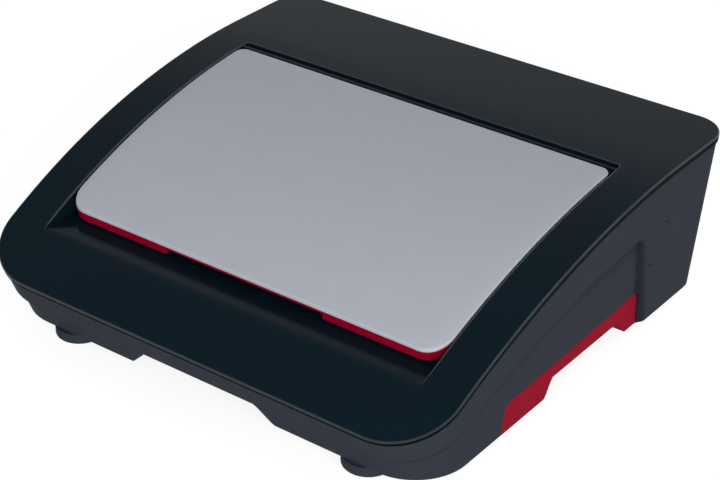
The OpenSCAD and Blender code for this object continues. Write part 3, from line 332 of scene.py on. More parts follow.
def carve(ob, steps, sharp=35):
    cutters = []
    for how, part in steps:
        cutter = piece("cutter", *part)
        cutters.append(cutter)
        mod = ob.modifiers.new("carve", "BOOLEAN")
        mod.operation, mod.solver, mod.object = how, "EXACT", cutter
    me = bpy.data.meshes.new_from_object(ob.evaluated_get(bpy.context.evaluated_depsgraph_get()))
    ob.modifiers.clear()
    old, ob.data = ob.data, me
    me.name = ob.name
    bpy.data.meshes.remove(old)
    for cutter in cutters:
        bpy.data.objects.remove(cutter)
    me.shade_smooth()
    me.set_sharp_from_angle(angle=math.radians(sharp))


def moved(part, place):
    return [place(*p) for p in part[0]], part[1]


def soften(ob, width):
    mod = ob.modifiers.new("soft_edge", "BEVEL")
    mod.width, mod.segments = width * MM, 2
    mod.limit_method, mod.angle_limit = "ANGLE", math.radians(40)


def weighted(ob):
    mod = ob.modifiers.new("normals", "WEIGHTED_NORMAL")
    mod.keep_sharp = True


# Materials
def srgb(r, g, b):
    linear = [(c / 255 / 12.92) if c < 10.4 else ((c / 255 + 0.055) / 1.055) ** 2.4 for c in (r, g, b)]
    return tuple(linear) + (1.0,)


NOISE_LOW, NOISE_HIGH, RELIEF = 0.3, 0.7, 0.0004


# Clouds and a fine grain vary the colour, the roughness and the relief; the crease colour is painted shade, a darker
# colour mixed in where a vertex value marks the crease
def finish_of(name, colour, rough, mottle=0.06, grain=900.0, bump=0.06, rough_spread=0.06, metal=0.0, spec=0.5,
              stretch=(1, 1, 1), tint=None, hollow=None, cloud=35.0):
    mat = bpy.data.materials.new(name)
    mat.use_nodes = True
    nodes, links = mat.node_tree.nodes, mat.node_tree.links
    shader = nodes["Principled BSDF"]
    shader.inputs["Metallic"].default_value = metal
    shader.inputs["Specular IOR Level"].default_value = spec
    if tint:
        shader.inputs["Specular Tint"].default_value = tint
    coord = nodes.new("ShaderNodeTexCoord")
    scale = nodes.new("ShaderNodeMapping")
    scale.inputs["Scale"].default_value = stretch
    links.new(coord.outputs["Object"], scale.inputs["Vector"])
    clouds = nodes.new("ShaderNodeTexNoise")
    clouds.inputs["Scale"].default_value = cloud
    clouds.inputs["Detail"].default_value = 4
    links.new(coord.outputs["Object"], clouds.inputs["Vector"])
    fine = nodes.new("ShaderNodeTexNoise")
    fine.inputs["Scale"].default_value = grain
    fine.inputs["Detail"].default_value = 3
    links.new(scale.outputs["Vector"], fine.inputs["Vector"])
    both = nodes.new("ShaderNodeMix")
    both.inputs["Factor"].default_value = 0.5
    links.new(clouds.outputs["Fac"], both.inputs["A"])
    links.new(fine.outputs["Fac"], both.inputs["B"])
    ramp = nodes.new("ShaderNodeValToRGB")
    for i, (at, k) in enumerate(((NOISE_LOW, 1 - mottle), (NOISE_HIGH, 1 + mottle))):
        ramp.color_ramp.elements[i].position = at
        ramp.color_ramp.elements[i].color = tuple(min(c * k, 1.0) for c in colour[:3]) + (1.0,)
    links.new(both.outputs["Result"], ramp.inputs["Fac"])
    links.new(ramp.outputs["Color"], shader.inputs["Base Color"])
    # Painted shade: where the vertex value is high, the base colour is mixed towards a darker colour along the case's
    # crease
    if hollow:
        place = nodes.new("ShaderNodeAttribute")
        place.attribute_name = "hollow"
        crease_shade_mix = nodes.new("ShaderNodeMix")
        crease_shade_mix.data_type = "RGBA"
        links.new(place.outputs["Fac"], crease_shade_mix.inputs[0])
        links.new(ramp.outputs["Color"], crease_shade_mix.inputs[6])
        crease_shade_mix.inputs[7].default_value = hollow
        links.new(crease_shade_mix.outputs[2], shader.inputs["Base Color"])
    sheen = nodes.new("ShaderNodeMapRange")
    sheen.inputs["From Min"].default_value = NOISE_LOW
    sheen.inputs["From Max"].default_value = NOISE_HIGH
    sheen.inputs["To Min"].default_value = max(rough - rough_spread, 0.02)
    sheen.inputs["To Max"].default_value = min(rough + rough_spread, 1.0)
    links.new(clouds.outputs["Fac"], sheen.inputs["Value"])
    links.new(sheen.outputs["Result"], shader.inputs["Roughness"])
    relief = nodes.new("ShaderNodeBump")
    relief.inputs["Strength"].default_value = bump
    relief.inputs["Distance"].default_value = RELIEF
    links.new(fine.outputs["Fac"], relief.inputs["Height"])
    links.new(relief.outputs["Normal"], shader.inputs["Normal"])
    return mat


# Colour, roughness, mottle, grain, bump and spread of the roughness
MATS = {
    # Painted shade: the case's last colour is a darker tone painted along its crease
    "case_plastic": finish_of("charcoal_plastic_crease_shade", srgb(52, 56, 65), 0.55, 0.05, 1500, 0.12, 0.05, spec=0.015,
                              hollow=srgb(36, 39, 46)),
    "frame_gloss": finish_of("gloss_frame", srgb(11, 27, 36), 0.12, 0.04, 500, 0.006, 0.03, spec=0.045,
                             tint=srgb(190, 215, 240)),
    "frame_edge": finish_of("frame_edge", srgb(11, 27, 36), 0.12, 0.04, 500, 0.006, 0.03, spec=0.4),
    "lid_silver": finish_of("satin_silver", srgb(182, 186, 196), 0.42, 0.03, 2600, 0.06, 0.04, metal=0.12, spec=0.1),
    "red_plastic": finish_of("red_plastic", srgb(155, 16, 42), 0.4, 0.05, 1300, 0.05, 0.06, spec=0.008),
    "liner_red": finish_of("liner_red", srgb(136, 6, 37), 0.4, 0.05, 1300, 0.05, 0.06, spec=0.008),
    "foot_rubber": finish_of("foot_rubber", srgb(52, 56, 65), 0.7, 0.08, 1100, 0.2, 0.06, spec=0.03),
    "inner_plastic": finish_of("inner_plastic", srgb(43, 47, 53), 0.55, 0.06, 1200, 0.12, 0.06, spec=0.3),
    "sheet_steel": finish_of("sheet_steel", srgb(168, 172, 178), 0.36, 0.06, 500, 0.05, 0.08, metal=1.0,
                             stretch=(1, 6, 6)),
    "ground_steel": finish_of("ground_steel", srgb(186, 189, 194), 0.26, 0.05, 700, 0.04, 0.06, metal=1.0,
                              stretch=(1, 8, 8)),
    "brass_metal": finish_of("brass_metal", srgb(190, 160, 95), 0.3, 0.06, 700, 0.04, 0.08, metal=1.0),
    "motor_metal": finish_of("motor_metal", srgb(126, 130, 137), 0.4, 0.06, 600, 0.05, 0.08, metal=0.9),
    "board_green": finish_of("board_green", srgb(38, 96, 56), 0.4, 0.14, 600, 0.05, 0.06),
    "core_tape": finish_of("core_tape", srgb(196, 172, 112), 0.5, 0.1, 500, 0.1, 0.06),
    "pale_plastic": finish_of("pale_plastic", srgb(208, 210, 210), 0.45, 0.03, 900, 0.05, 0.05),
    "black_plastic": finish_of("black_plastic", srgb(5, 7, 11), 0.45, 0.06, 1000, 0.1, 0.06, spec=0.01),
}

# Camera at the photograph's angle
AZIMUTH, ELEVATION = math.radians(37.245), math.radians(30.26)
CAMERA_AT, LENS, SENSOR = (0.8070, -1.0511, 0.8280), 99.14, 36.0
cam_data = bpy.data.cameras.new("camera")
cam_data.lens, cam_data.sensor_width = LENS, SENSOR
cam = bpy.data.objects.new("camera", cam_data)
bpy.context.collection.objects.link(cam)
cam.location = CAMERA_AT
level_reach = math.cos(ELEVATION)
aim = Vector((-math.sin(AZIMUTH) * level_reach, math.cos(AZIMUTH) * level_reach, -math.sin(ELEVATION)))
cam.rotation_euler = aim.to_track_quat("-Z", "Y").to_euler()
bpy.context.scene.camera = cam


def dress(ob, body, mat, *nodes, look=None):
    ob.data.materials.clear()
    ob.data.materials.append(MATS[look or mat])
    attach(ob, body)
    if nodes:
        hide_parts(*nodes)


# Glossy top frame: a closed skin round the lid opening, with the sill, the side walls and the slot bridge
IN_R, IN_FRONT_R, IN_REAR_R, OUT_R = 1.6, 8.0, 3.0, 1.2
LEAST_R, RIM_EDGE = 0.04, 0.5
FILLET_RUN, REAR_LESS, REAR_START, REAR_RUN = 14.0, 0.6, 4.0, 6.0
FILLET_N, SPAN_N, ROUND_N = 5, 9, 6


# The rounding of the opening runs out at the sill and gets smaller at the slot
def fillet(y):
    rise = smooth_step((y - OPEN_FRONT) / FILLET_RUN)
    rise *= 1 - REAR_LESS * smooth_step((y - LID_REAR + REAR_START) / REAR_RUN)
    return LEAST_R + (IN_R - LEAST_R) * rise


def opening_place(place, d):
    return rounded(place, OPEN_X + d, OPEN_FRONT - d, SLOT_END + d, IN_FRONT_R + d, IN_REAR_R + d)


def opening_ring(angle=None):
    ring = []
    for place in PLACES:
        r = fillet(opening_place(place, 0)[1])
        turn = math.radians(angle or 0)
        x, y = opening_place(place, r * (1 - math.cos(turn)))
        ring.append((taper(x, y), y, arch(y, SKIN if angle is None else r * (1 - math.sin(turn)))))
    return ring


def edge_ring(grow, depth, rims=0):
    return body_ring(lambda y, z: grow, lambda y: arch(y, depth + rims * rim(y)))


def between(a, b, t, depth):
    out = []
    for (x0, y0, _), (x1, y1, _) in zip(a, b):
        x, y = x0 + (x1 - x0) * t, y0 + (y1 - y0) * t
        out.append((x, y, arch(y, depth)))
    return out


frame_rings = [opening_ring()] + [opening_ring(a) for a in spread(0, 90, FILLET_N)]
inner_edge, outer_edge = frame_rings[-1], edge_ring(OVERHANG - OUT_R, 0)
for t in spread(0, 1, SPAN_N)[1:-1]:
    frame_rings.append(between(inner_edge, outer_edge, t, 0))
for a in spread(90, 0, ROUND_N):
    c, s = math.cos(math.radians(a)), math.sin(math.radians(a))
    frame_rings.append(edge_ring(OVERHANG - OUT_R * (1 - c), OUT_R * (1 - s)))
frame_rings += [edge_ring(OVERHANG, -RIM_EDGE, 1), edge_ring(OVERHANG - RIM_EDGE, 0, 1),
                edge_ring(OVERHANG - RIM_T, 0, 1), edge_ring(OVERHANG - RIM_T, SKIN)]
under_edge = frame_rings[-1]
for t in spread(0, 1, SPAN_N)[1:-1]:
    frame_rings.append(between(under_edge, frame_rings[0], t, SKIN))

WALL_FOOT, WALL_LAP, WALL_N = 65.3, 0.05, 30


def strip(rows):
    # Solid along Y from rows of y, the two sides in X, and the foot and the top in Z
    rings = []
    for y, x0, x1, lo, hi in rows:
        rings.append([(x0, y, lo), (x1, y, lo), (x1, y, hi), (x0, y, hi)])
    return loft(rings)


def side_wall(side):
    rows = []
    for y in spread(OPEN_FRONT + IN_FRONT_R, OPEN_REAR, WALL_N):
        x0, x1 = sorted((side * taper(OPEN_X + WALL_LAP, y), side * taper(OPEN_X + WELL_T, y)))
        rows.append((y, x0, x1, WALL_FOOT, arch(y, SKIN / 2)))
    return strip(rows)


def sill_half(y):
    t = min(max(y - OPEN_FRONT, 0.0), IN_FRONT_R)
    return taper(OPEN_X + SILL_TUCK - IN_FRONT_R + math.sqrt(IN_FRONT_R ** 2 - (IN_FRONT_R - t) ** 2), y)


# Sill: it starts just above the frame, bends into the level part and has a rounded rear edge
SILL_TUCK, SILL_START, SILL_LAP, LAP_RUN, SILL_R = 1.0, 3.0, 0.02, 6.0, 0.6
sill_rows = []
for y in spread(FOLD_Y - SILL_START, FOLD_Y, 3)[:-1]:
    sill_rows.append((y, -sill_half(y), sill_half(y), arch(y) - WELL_T / 2, arch(y) + SILL_LAP))
for y in spread(FOLD_Y, FOLD_Y + FOLD_RUN, 24) + spread(FOLD_Y + FOLD_RUN, SILL_BACK - SILL_R, 4)[1:]:
    lap = SILL_LAP * (1 - smooth_step((y - FOLD_Y) / LAP_RUN))
    sill_rows.append((y, -sill_half(y), sill_half(y), sill(y) - WELL_T, sill(y) + lap))
for a in spread(0, 90, 4)[1:]:
    turn = math.radians(a)
    y = SILL_BACK - SILL_R * (1 - math.sin(turn))
    sill_rows.append((y, -sill_half(y), sill_half(y), SILL_Z - WELL_T, SILL_Z - SILL_R * (1 - math.cos(turn))))

bridge_rows = []
for a in spread(-90, 90, 12):
    y = OPEN_REAR + BRIDGE / 2 + BRIDGE / 2 * math.sin(math.radians(a))
    soft = BRIDGE_SOFT * (1 - math.cos(math.radians(a)) ** 0.25)
    half = OPEN_X + BRIDGE_TUCK
    bridge_rows.append((y, -half, half, arch(y, SKIN), arch(y) - BRIDGE_DROP - soft))
shell = piece("frame_shell", *join(loft(frame_rings, closed=True), side_wall(1), side_wall(-1),
                                   strip(sill_rows), strip(bridge_rows)), sharp=40)
dress(shell, "case", "frame_gloss", "top_frame")
# The rounded edges carry a clearer gloss
shell.data.materials.append(MATS["frame_edge"])
round_first = 1 + FILLET_N + SPAN_N
for first, last in ((2, 1 + FILLET_N), (round_first, round_first + ROUND_N)):
    for face in shell.data.polygons[first * len(PLACES):last * len(PLACES)]:
        face.material_index = 1
weighted(shell)

# Painted shade: a black band on the outside of the rim stands in for the dark shadow line under the frame's edge
BAND_TOP, BAND_PROUD, BAND_IN = OUT_R + 0.2, 0.08, 2.0
rim_shade_band = piece("frame_rim_painted_shade", *loft([edge_ring(OVERHANG + BAND_PROUD, BAND_TOP), edge_ring(OVERHANG + BAND_PROUD, 0, 1),
                                  edge_ring(OVERHANG - BAND_IN, BAND_PROUD, 1),
                                  edge_ring(OVERHANG - BAND_IN, BAND_TOP)], closed=True), sharp=40)
dress(rim_shade_band, "case", "black_plastic")

# Lower case: a cup with flared walls, its arched crease and rounded bottom edge
BOTTOM_R, ROOF_GAP, ROW_GAP, BELOW, ABOVE = 1.2, 0.6, 0.02, 0.3, 0.4


def case_top(y):
    return arch(y, rim(y) + SEAM)


def bottom_fill(z):
    up = min(z - FLOOR, BOTTOM_R)
    return BOTTOM_R - math.sqrt(max(BOTTOM_R ** 2 - (BOTTOM_R - up) ** 2, 0.0))


def case_grow(y, z):
    return crease_grow(y, z) - bottom_fill(z)


def crease_row(y, d):
    foot = FLOOR + BOTTOM_R
    z = crease(y) + d * crease_steep(y)
    return min(max(z, foot), case_top(y) - ROOF_GAP)


# Heights of the rings: the rounded foot, the panel, the crease and the wall above it
def case_levels():
    levels = [lambda y, a=a: FLOOR + BOTTOM_R * (1 - math.cos(math.radians(a))) for a in spread(0, 90, 5)]
    foot = FLOOR + BOTTOM_R
    lowest = lambda y: crease_row(y, -crease_width(y) - BELOW)
    for t in spread(0, 1, 6)[1:]:
        levels.append(lambda y, t=t: foot + ROW_GAP * t + (lowest(y) - foot) * t)
    for k, s in enumerate(spread(-1, 0, 6)):
        levels.append(lambda y, s=s, k=k: crease_row(y, s * crease_width(y)) + ROW_GAP * (2 + k))
    upper = lambda y: crease_row(y, ABOVE) + 10 * ROW_GAP
    for t in spread(0, 1, 8):
        levels.append(lambda y, t=t: upper(y) + (case_top(y) - upper(y)) * t)
    return levels


case_rings = [body_ring(case_grow, lev) for lev in case_levels()]
inner_set = PANEL_INSET + WALL
case_rings.append(body_ring(lambda y, z: -inner_set, case_top))
for t in (0.66, 0.33):
    case_rings.append(body_ring(lambda y, z: -inner_set,
                                lambda y, t=t: FLOOR + BASE_T + (case_top(y) - FLOOR - BASE_T) * t))
case_rings.append(body_ring(lambda y, z: -inner_set, lambda y: FLOOR + BASE_T))
case = piece("case_shell", *loft(case_rings), sharp=38)

# Raised skirt between the front feet; the cutters reach past the wall
SKIRT_W, SKIRT_RUN, SKIRT_H, SKIRT_D, SKIRT_LAP = 70.5, 20.0, 17.0, 42.0, 4.0
CUT_BELOW, CUT_OUT = 5.0, 60.0


def skirt_profile(grow):
    half = [(SKIRT_W + grow, FLOOR - CUT_BELOW), (SKIRT_W + grow, FLOOR)]
    for t in spread(0, 1, 12)[1:]:
        half.append((SKIRT_W + grow - SKIRT_RUN * t, FLOOR + (SKIRT_H + grow) * smooth_step(t)))
    return half + [(-x, z) for x, z in reversed(half)]


def on_right(x, y, z):
    # x out of the right wall, y along it, z up it, about the middle of the cap
    tilt = math.atan(SIDE_FLARE)
    return (half_w(CAP_Z) + x * math.cos(tilt) + z * math.sin(tilt), CAP_Y + y,
            CAP_Z - x * math.sin(tilt) + z * math.cos(tilt))


def on_rear(x, y, z):
    # y out of the rear wall, z up it, about the height of the sockets
    tilt = math.atan(REAR_LEAN)
    return (x, rear_y(SOCKET_Z) + y * math.cos(tilt) + z * math.sin(tilt),
            SOCKET_Z - y * math.sin(tilt) + z * math.cos(tilt))


CAP_LOW, CAP_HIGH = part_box("side_cap")
CAP_Y, CAP_Z = (CAP_LOW[1] + CAP_HIGH[1]) / 2 / MM, FLOOR + 69.0
CAP_R, CAP_T, CAP_GROOVE = (CAP_HIGH[1] - CAP_LOW[1]) / 2 / MM, 2.5, 0.4
SOCKET_Z, SOCKET_DEEP = FLOOR + 36.0, 40.0
SOCKETS = ((-110.0, 32.6, 25.6), (-66.0, 27.6, 19.6))

# Drawer face: outline in Y and Z, with round corners, a gently rising top and a notch for the fingers
DRAW_LOW, DRAW_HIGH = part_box("chip_drawer")
DRAW_LEFT, DRAW_GAP, DRAW_FOOT = DRAW_LOW[0] / MM, 0.6, FLOOR + 0.3
FACE_Y0, FACE_Y1 = DRAW_LOW[1] / MM - 2.0, DRAW_HIGH[1] / MM
FACE_TOP0, FACE_TOP1 = FLOOR + 25.6, FLOOR + 31.0
FACE_LEAN0, FACE_LEAN1, FACE_R0, FACE_R1, FACE_BOW = 4.0, 5.0, 7.5, 3.0, 0.55
NOTCH_Y0, NOTCH_Y1, NOTCH_TOP = -36.4, 76.5, FLOOR + 15.3
NOTCH_RUN0, NOTCH_RUN1 = 11.0, 9.0


def bend(a, b, c, n=8):
    # Round corner from a to c, pulled towards b
    out = []
    for t in spread(0, 1, n):
        out.append(tuple(a[k] * (1 - t) ** 2 + 2 * b[k] * t * (1 - t) + c[k] * t * t for k in (0, 1)))
    return out


def drawer_profile(grow, foot, notch):
    y0, y1 = FACE_Y0 - grow, FACE_Y1 + grow
    c0, c1 = (y0 + FACE_LEAN0, FACE_TOP0 + grow), (y1 - FACE_LEAN1, FACE_TOP1 + grow)
    out = [(y0, foot)] + bend((c0[0] - 1.0, c0[1] - FACE_R0), c0, (c0[0] + FACE_R0, c0[1] + 0.1))
    for t in spread(0, 1, 12)[1:-1]:
        y = c0[0] + FACE_R0 + (c1[0] - FACE_R1 - c0[0] - FACE_R0) * t
        out.append((y, c0[1] + (c1[1] - c0[1]) * ((1 - FACE_BOW) * t + FACE_BOW * t * t)))
    out += bend((c1[0] - FACE_R1, c1[1]), c1, (c1[0] + 0.7, c1[1] - FACE_R1)) + [(y1, foot)]
    if notch:
        out.append((NOTCH_Y1 + 3, foot))
        out += bend((NOTCH_Y1 + 2, foot), (NOTCH_Y1, foot), (NOTCH_Y1 - 1.2, foot + 1.8), 4)
        out += bend((NOTCH_Y1 - NOTCH_RUN1 + 1.5, NOTCH_TOP - 2.2), (NOTCH_Y1 - NOTCH_RUN1, NOTCH_TOP),
                    (NOTCH_Y1 - NOTCH_RUN1 - 2.5, NOTCH_TOP), 5)
        for t in spread(0, 1, 14):
            out.append((NOTCH_Y0 + NOTCH_RUN0 * (1 - t), foot + (NOTCH_TOP - foot) * smooth_step(1 - t)))
    return out


skirt_front = FRONT_LOW + PANEL_INSET
skirt_back = skirt_front + SKIRT_D
carve(case, [
    ("UNION", prism_y(skirt_profile(WALL)[1:-1], skirt_front + SKIRT_LAP, skirt_back + WALL)),
    ("DIFFERENCE", prism_y(skirt_profile(0), FRONT_LOW - CUT_OUT, skirt_back)),
    ("DIFFERENCE", prism_x(drawer_profile(DRAW_GAP, FLOOR - 3, False), OPEN_X - 16, half_w(FLOOR) + 20)),
    ("DIFFERENCE", box_solid((DRAW_LEFT - DRAW_GAP, DRAW_LOW[1] / MM - DRAW_GAP, FLOOR - 3),
                             (OPEN_X - 10, FACE_Y1 + DRAW_GAP, FLOOR + BASE_T + 1))),
    ("DIFFERENCE", moved(prism_x(circle(CAP_R + CAP_GROOVE, 96), -CAP_T, 6), on_right)),
] + [("DIFFERENCE", moved(box_solid((x - w / 2, -SOCKET_DEEP, -h / 2), (x + w / 2, 6, h / 2)), on_rear))
     for x, w, h in SOCKETS], sharp=38)
# Painted shade: the case is coloured a little darker along the crease, where shade falls, by a vertex value that its
# material mixes in
CREASE_SHADE_AT, CREASE_SHADE_HALF = 0.4, 0.8
crease_shade_mask = case.data.attributes.new("hollow", "FLOAT", "POINT")
for v in case.data.vertices:
    y, z = v.co.y / MM, v.co.z / MM
    s = (z - crease(y)) / crease_steep(y) / crease_width(y) + 1
    crease_shade_mask.data[v.index].value = max(0.0, 1 - ((s - CREASE_SHADE_AT) / CREASE_SHADE_HALF) ** 2)
dress(case, "case", "case_plastic", "lower_case")
weighted(case)

# Red chip drawer: the face in the wall, and the tray with its flanges behind it
FACE_BACK, TRAY_WALL, TRAY_TOP, FLANGE_Z, FLANGE = 175.0, 2.4, FLOOR + 21.0, FLOOR + 11.0, 4.5
TRAY_Y0, TRAY_Y1 = DRAW_LOW[1] / MM + 11.0, DRAW_HIGH[1] / MM - 8.0


def tray_ring(inset, z):
    x0, x1, y0, y1 = DRAW_LEFT + inset, FACE_BACK + 0.5 - inset, TRAY_Y0 + inset, TRAY_Y1 - inset
    return [(x0, y0, z), (x1, y0, z), (x1, y1, z), (x0, y1, z)]


face = drawer_profile(0, DRAW_FOOT, True)
drawer = piece("drawer_box", *join(
    loft([[(FACE_BACK, y, z) for y, z in face], [(half_w(z) - PANEL_INSET, y, z) for y, z in face]]),
    loft([tray_ring(0, DRAW_FOOT), tray_ring(0, TRAY_TOP), tray_ring(TRAY_WALL, TRAY_TOP),
          tray_ring(TRAY_WALL, DRAW_FOOT + TRAY_WALL)]),
    box_solid((DRAW_LEFT, TRAY_Y0 - FLANGE, FLANGE_Z), (FACE_BACK, TRAY_Y0 + 0.1, FLANGE_Z + TRAY_WALL)),
    box_solid((DRAW_LEFT, TRAY_Y1 - 0.1, FLANGE_Z), (FACE_BACK, TRAY_Y1 + FLANGE, FLANGE_Z + TRAY_WALL)),
), sharp=30)
dress(drawer, "drawer", "red_plastic", "chip_drawer")
soften(drawer, 0.5)

# Silver lid skin on the arch
def plate_rows(hw, y0, y1, rf, rr, corner=8, straight=40):
    rows = [(y0 + rf * (1 - math.cos(a)), hw - rf + rf * math.sin(a)) for a in spread(0, math.pi / 2, corner)]
    rows += [(y, hw) for y in spread(y0 + rf, y1 - rr, straight)[1:-1]]
    rows += [(y1 - rr * (1 - math.sin(a)), hw - rr + rr * math.cos(a)) for a in spread(0, math.pi / 2, corner)]
    return rows


def plate(hw, y0, y1, rf, rr, stations, cols=24):
    def grid(d, depth):
        return [[(taper(w * f, y), y, arch(y, depth)) for f in spread(-1, 1, cols)]
                for y, w in plate_rows(hw - d, y0 + d, y1 - d, rf - d, rr - d)]

    def outline(g):
        return g[0] + [r[-1] for r in g[1:-1]] + g[-1][::-1] + [r[0] for r in g[-2:0:-1]]

    top, base = grid(*stations[0]), grid(*stations[-1])
    rows, wide = len(top), cols + 1
    verts, faces = [], []
    for g, flip in ((top, False), (base, True)):
        start = len(verts)
        verts += [p for row in g for p in row]
        for i in range(rows - 1):
            for j in range(cols):
                near, far = start + i * wide + j, start + (i + 1) * wide + j
                q = (near, near + 1, far + 1, far)
                faces.append(q[::-1] if flip else q)

    def outline_index(start):
        return outline([[start + i * wide + j for j in range(wide)] for i in range(rows)])

    loops = [outline_index(0)]
    for d, depth in stations[1:-1]:
        start = len(verts)
        ring = outline(grid(d, depth))
        verts += ring
        loops.append(list(range(start, start + len(ring))))
    loops.append(outline_index(rows * wide))
    n = len(loops[0])
    for a, b in zip(loops, loops[1:]):
        for j in range(n):
            k = (j + 1) % n
            faces.append((a[j], b[j], b[k], a[k]))
    return verts, faces


def round_edge(r, angles):
    return [(r * (1 - math.cos(math.radians(a))), r * (1 - math.sin(math.radians(a)))) for a in angles]


LID_T, LID_EDGE_R, LID_FOOT_R, LID_FR, LID_RR = 2.5, 1.0, 0.3, 18.0, 8.0
lid_stations = round_edge(LID_EDGE_R, spread(90, 0, 5))
lid_stations += [(0, LID_T - LID_FOOT_R), (LID_FOOT_R, LID_T)]
lid = piece("lid_skin", *plate(LID_X, LID_FRONT, LID_REAR, LID_FR, LID_RR, lid_stations), sharp=50)
dress(lid, "lid", "lid_silver", "lid_panel")

# Red tray under the skin, with its lip, the finger pocket and the hinge bosses
LINER_SET, LINER_T, LINER_GAP, LIP_FOOT, LIP_R = 1.0, 2.4, 0.02, 9.5, 0.8
POCKET_W, POCKET_RUN, POCKET_D = 74.0, 5.0, 12.0
BOSS_W, BOSS_D, TUCK, HINGE_SET = 26.0, 10.0, 2.0, 20.6
INTO_LINER, ABOVE_LIP = 0.6, 0.4
liner_stations = [(LINER_SET, LID_T + LINER_GAP)]
liner_stations += [(LINER_SET + d, LIP_FOOT - up) for d, up in round_edge(LIP_R, spread(0, 90, 4))]
liner_stations += [(LINER_SET + LINER_T, LIP_FOOT), (LINER_SET + LINER_T, LID_T + LINER_T)]
liner = piece("lid_tray", *plate(LID_X, LID_FRONT, LID_REAR, LID_FR, LID_RR, liner_stations), sharp=40)


def under_lid(y0, y1, depth0, depth1, x0, x1):
    ys = spread(y0, y1, 8)
    return prism_x([(y, arch(y, depth0)) for y in ys] + [(y, arch(y, depth1)) for y in reversed(ys)], x0, x1)


pocket_back = LID_FRONT + POCKET_D
inside, foot = LID_T + LINER_T - INTO_LINER, LIP_FOOT - ABOVE_LIP
boss_front, boss_rear = LID_REAR - HINGE_SET - BOSS_D, LID_REAR - TUCK
frame_x = POCKET_W + POCKET_RUN + LINER_T
carve(liner, [
    ("UNION", under_lid(LID_FRONT + TUCK, pocket_back + LINER_T, inside, foot, -frame_x, frame_x)),
    ("DIFFERENCE", under_lid(LID_FRONT - 3, pocket_back, LID_T + LINER_T, LIP_FOOT + 20, -POCKET_W, POCKET_W)),
    ("UNION", under_lid(boss_front, boss_rear, inside, foot, LID_X - BOSS_W, LID_X - TUCK)),
    ("UNION", under_lid(boss_front, boss_rear, inside, foot, TUCK - LID_X, BOSS_W - LID_X)),
], sharp=40)
dress(liner, "lid", "red_plastic", "lid_liner", look="liner_red")

# Round rubber feet with a strongly rounded lower edge and a shallow hollow underneath
FOOT_SOFT, FOOT_HOLLOW, FOOT_RING, FOOT_STEP = 2.6, 0.6, 2.4, 3.0
for name in ("foot_front_left", "foot_front_right", "foot_rear_left", "foot_rear_right"):
    lo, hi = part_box(name)
    cx, cy, r = (lo[0] + hi[0]) / 2 / MM, (lo[1] + hi[1]) / 2 / MM, (hi[0] - lo[0]) / 2 / MM
    flat = r - FOOT_SOFT
    profile = [(0, FOOT_HOLLOW), (flat - FOOT_STEP, FOOT_HOLLOW), (flat - FOOT_RING, 0)]
    for a in spread(0, math.pi / 2, 8):
        profile.append((flat + FOOT_SOFT * math.sin(a), FOOT_SOFT * (1 - math.cos(a))))
    profile += [(r, FLOOR), (0, FLOOR)]
    foot = piece(name + "_pad", *lathe(profile, cx, cy), sharp=45)
    dress(foot, "case", "foot_rubber", name)

# CAD nodes that keep their shape get softened edges and their slot's material
SOFT_EDGE = 0.4
LOOK_OF = {"lid_bumpers": "black_plastic"}
SLOT_OF = {sub["node"]: sub["material_slot"] for sub in frame["record"]["subparts"]}
for name, ob in frame["nodes"].items():
    if ob.hide_render:
        continue
    ob.data.materials.clear()
    ob.data.materials.append(MATS[LOOK_OF.get(name, SLOT_OF[name])])
    soften(ob, SOFT_EDGE)

# Floor, lamps and world
STAGE = 6000.0
floor = piece("floor", [(-STAGE, -STAGE, 0), (STAGE, -STAGE, 0), (STAGE, STAGE, 0), (-STAGE, STAGE, 0)], [(0, 1, 2, 3)])


def seen_rays(nodes, links):
    path = nodes.new("ShaderNodeLightPath")
    first = nodes.new("ShaderNodeMath")
    first.operation = "MAXIMUM"
    links.new(path.outputs["Is Camera Ray"], first.inputs[0])
    links.new(path.outputs["Is Glossy Ray"], first.inputs[1])
    second = nodes.new("ShaderNodeMath")
    second.operation = "MAXIMUM"
    links.new(first.outputs[0], second.inputs[0])
    links.new(path.outputs["Is Transmission Ray"], second.inputs[1])
    return second.outputs[0]


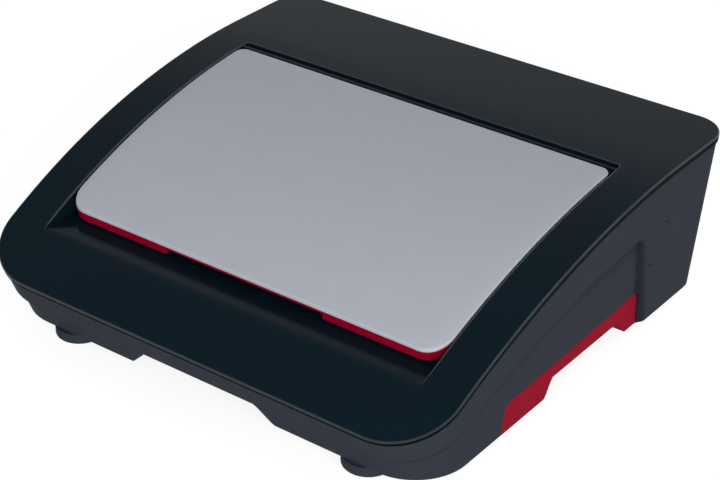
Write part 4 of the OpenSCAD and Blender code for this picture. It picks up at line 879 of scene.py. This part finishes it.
FLOOR_GLOW, FLOOR_WHITE = 0.8, 0.45
mat = bpy.data.materials.new("pale_floor")
mat.use_nodes = True
nodes, links = mat.node_tree.nodes, mat.node_tree.links
nodes.remove(nodes["Principled BSDF"])
matte = nodes.new("ShaderNodeBsdfDiffuse")
matte.inputs["Color"].default_value = (FLOOR_WHITE, FLOOR_WHITE, FLOOR_WHITE, 1)
glow = nodes.new("ShaderNodeEmission")
level = nodes.new("ShaderNodeMath")
level.operation = "MULTIPLY"
level.inputs[1].default_value = FLOOR_GLOW
links.new(seen_rays(nodes, links), level.inputs[0])
links.new(level.outputs[0], glow.inputs["Strength"])
both = nodes.new("ShaderNodeAddShader")
links.new(matte.outputs[0], both.inputs[0])
links.new(glow.outputs[0], both.inputs[1])
links.new(both.outputs[0], nodes["Material Output"].inputs["Surface"])
floor.data.materials.append(mat)

WORLD_FILL = 0.18
world = bpy.data.worlds.new("studio")
bpy.context.scene.world = world
world.use_nodes = True
nodes, links = world.node_tree.nodes, world.node_tree.links
back = nodes["Background"]
back.inputs["Color"].default_value = (1, 1, 1, 1)
span = nodes.new("ShaderNodeMapRange")
span.inputs["To Min"].default_value = WORLD_FILL
span.inputs["To Max"].default_value = 1.0
links.new(seen_rays(nodes, links), span.inputs["Value"])
links.new(span.outputs["Result"], back.inputs["Strength"])


def lamp(name, at, towards, size, watts, gloss=True):
    data = bpy.data.lights.new(name, "AREA")
    data.shape, data.size, data.size_y, data.energy = "RECTANGLE", size[0], size[1], watts
    ob = bpy.data.objects.new(name, data)
    bpy.context.collection.objects.link(ob)
    ob.location = at
    ob.rotation_euler = (Vector(towards) - Vector(at)).to_track_quat("-Z", "Y").to_euler()
    ob.visible_glossy = gloss


lamp("key", (1.4, -1.65, 0.72), (0, -0.05, 0.08), (3.0, 1.3), 58, gloss=False)
lamp("top", (0.0, 0.2, 1.9), (0, 0, 0.1), (1.2, 0.8), 1.0)
lamp("rear", (-1.7, 1.75, 0.36), (0, 0.05, 0.08), (2.4, 0.5), 30, gloss=False)
lamp("edge", (0.95, 0.4, 1.55), (0, 0.4, 0.1), (1.6, 0.12), 3)

bpy.context.scene.view_settings.view_transform = "Standard"
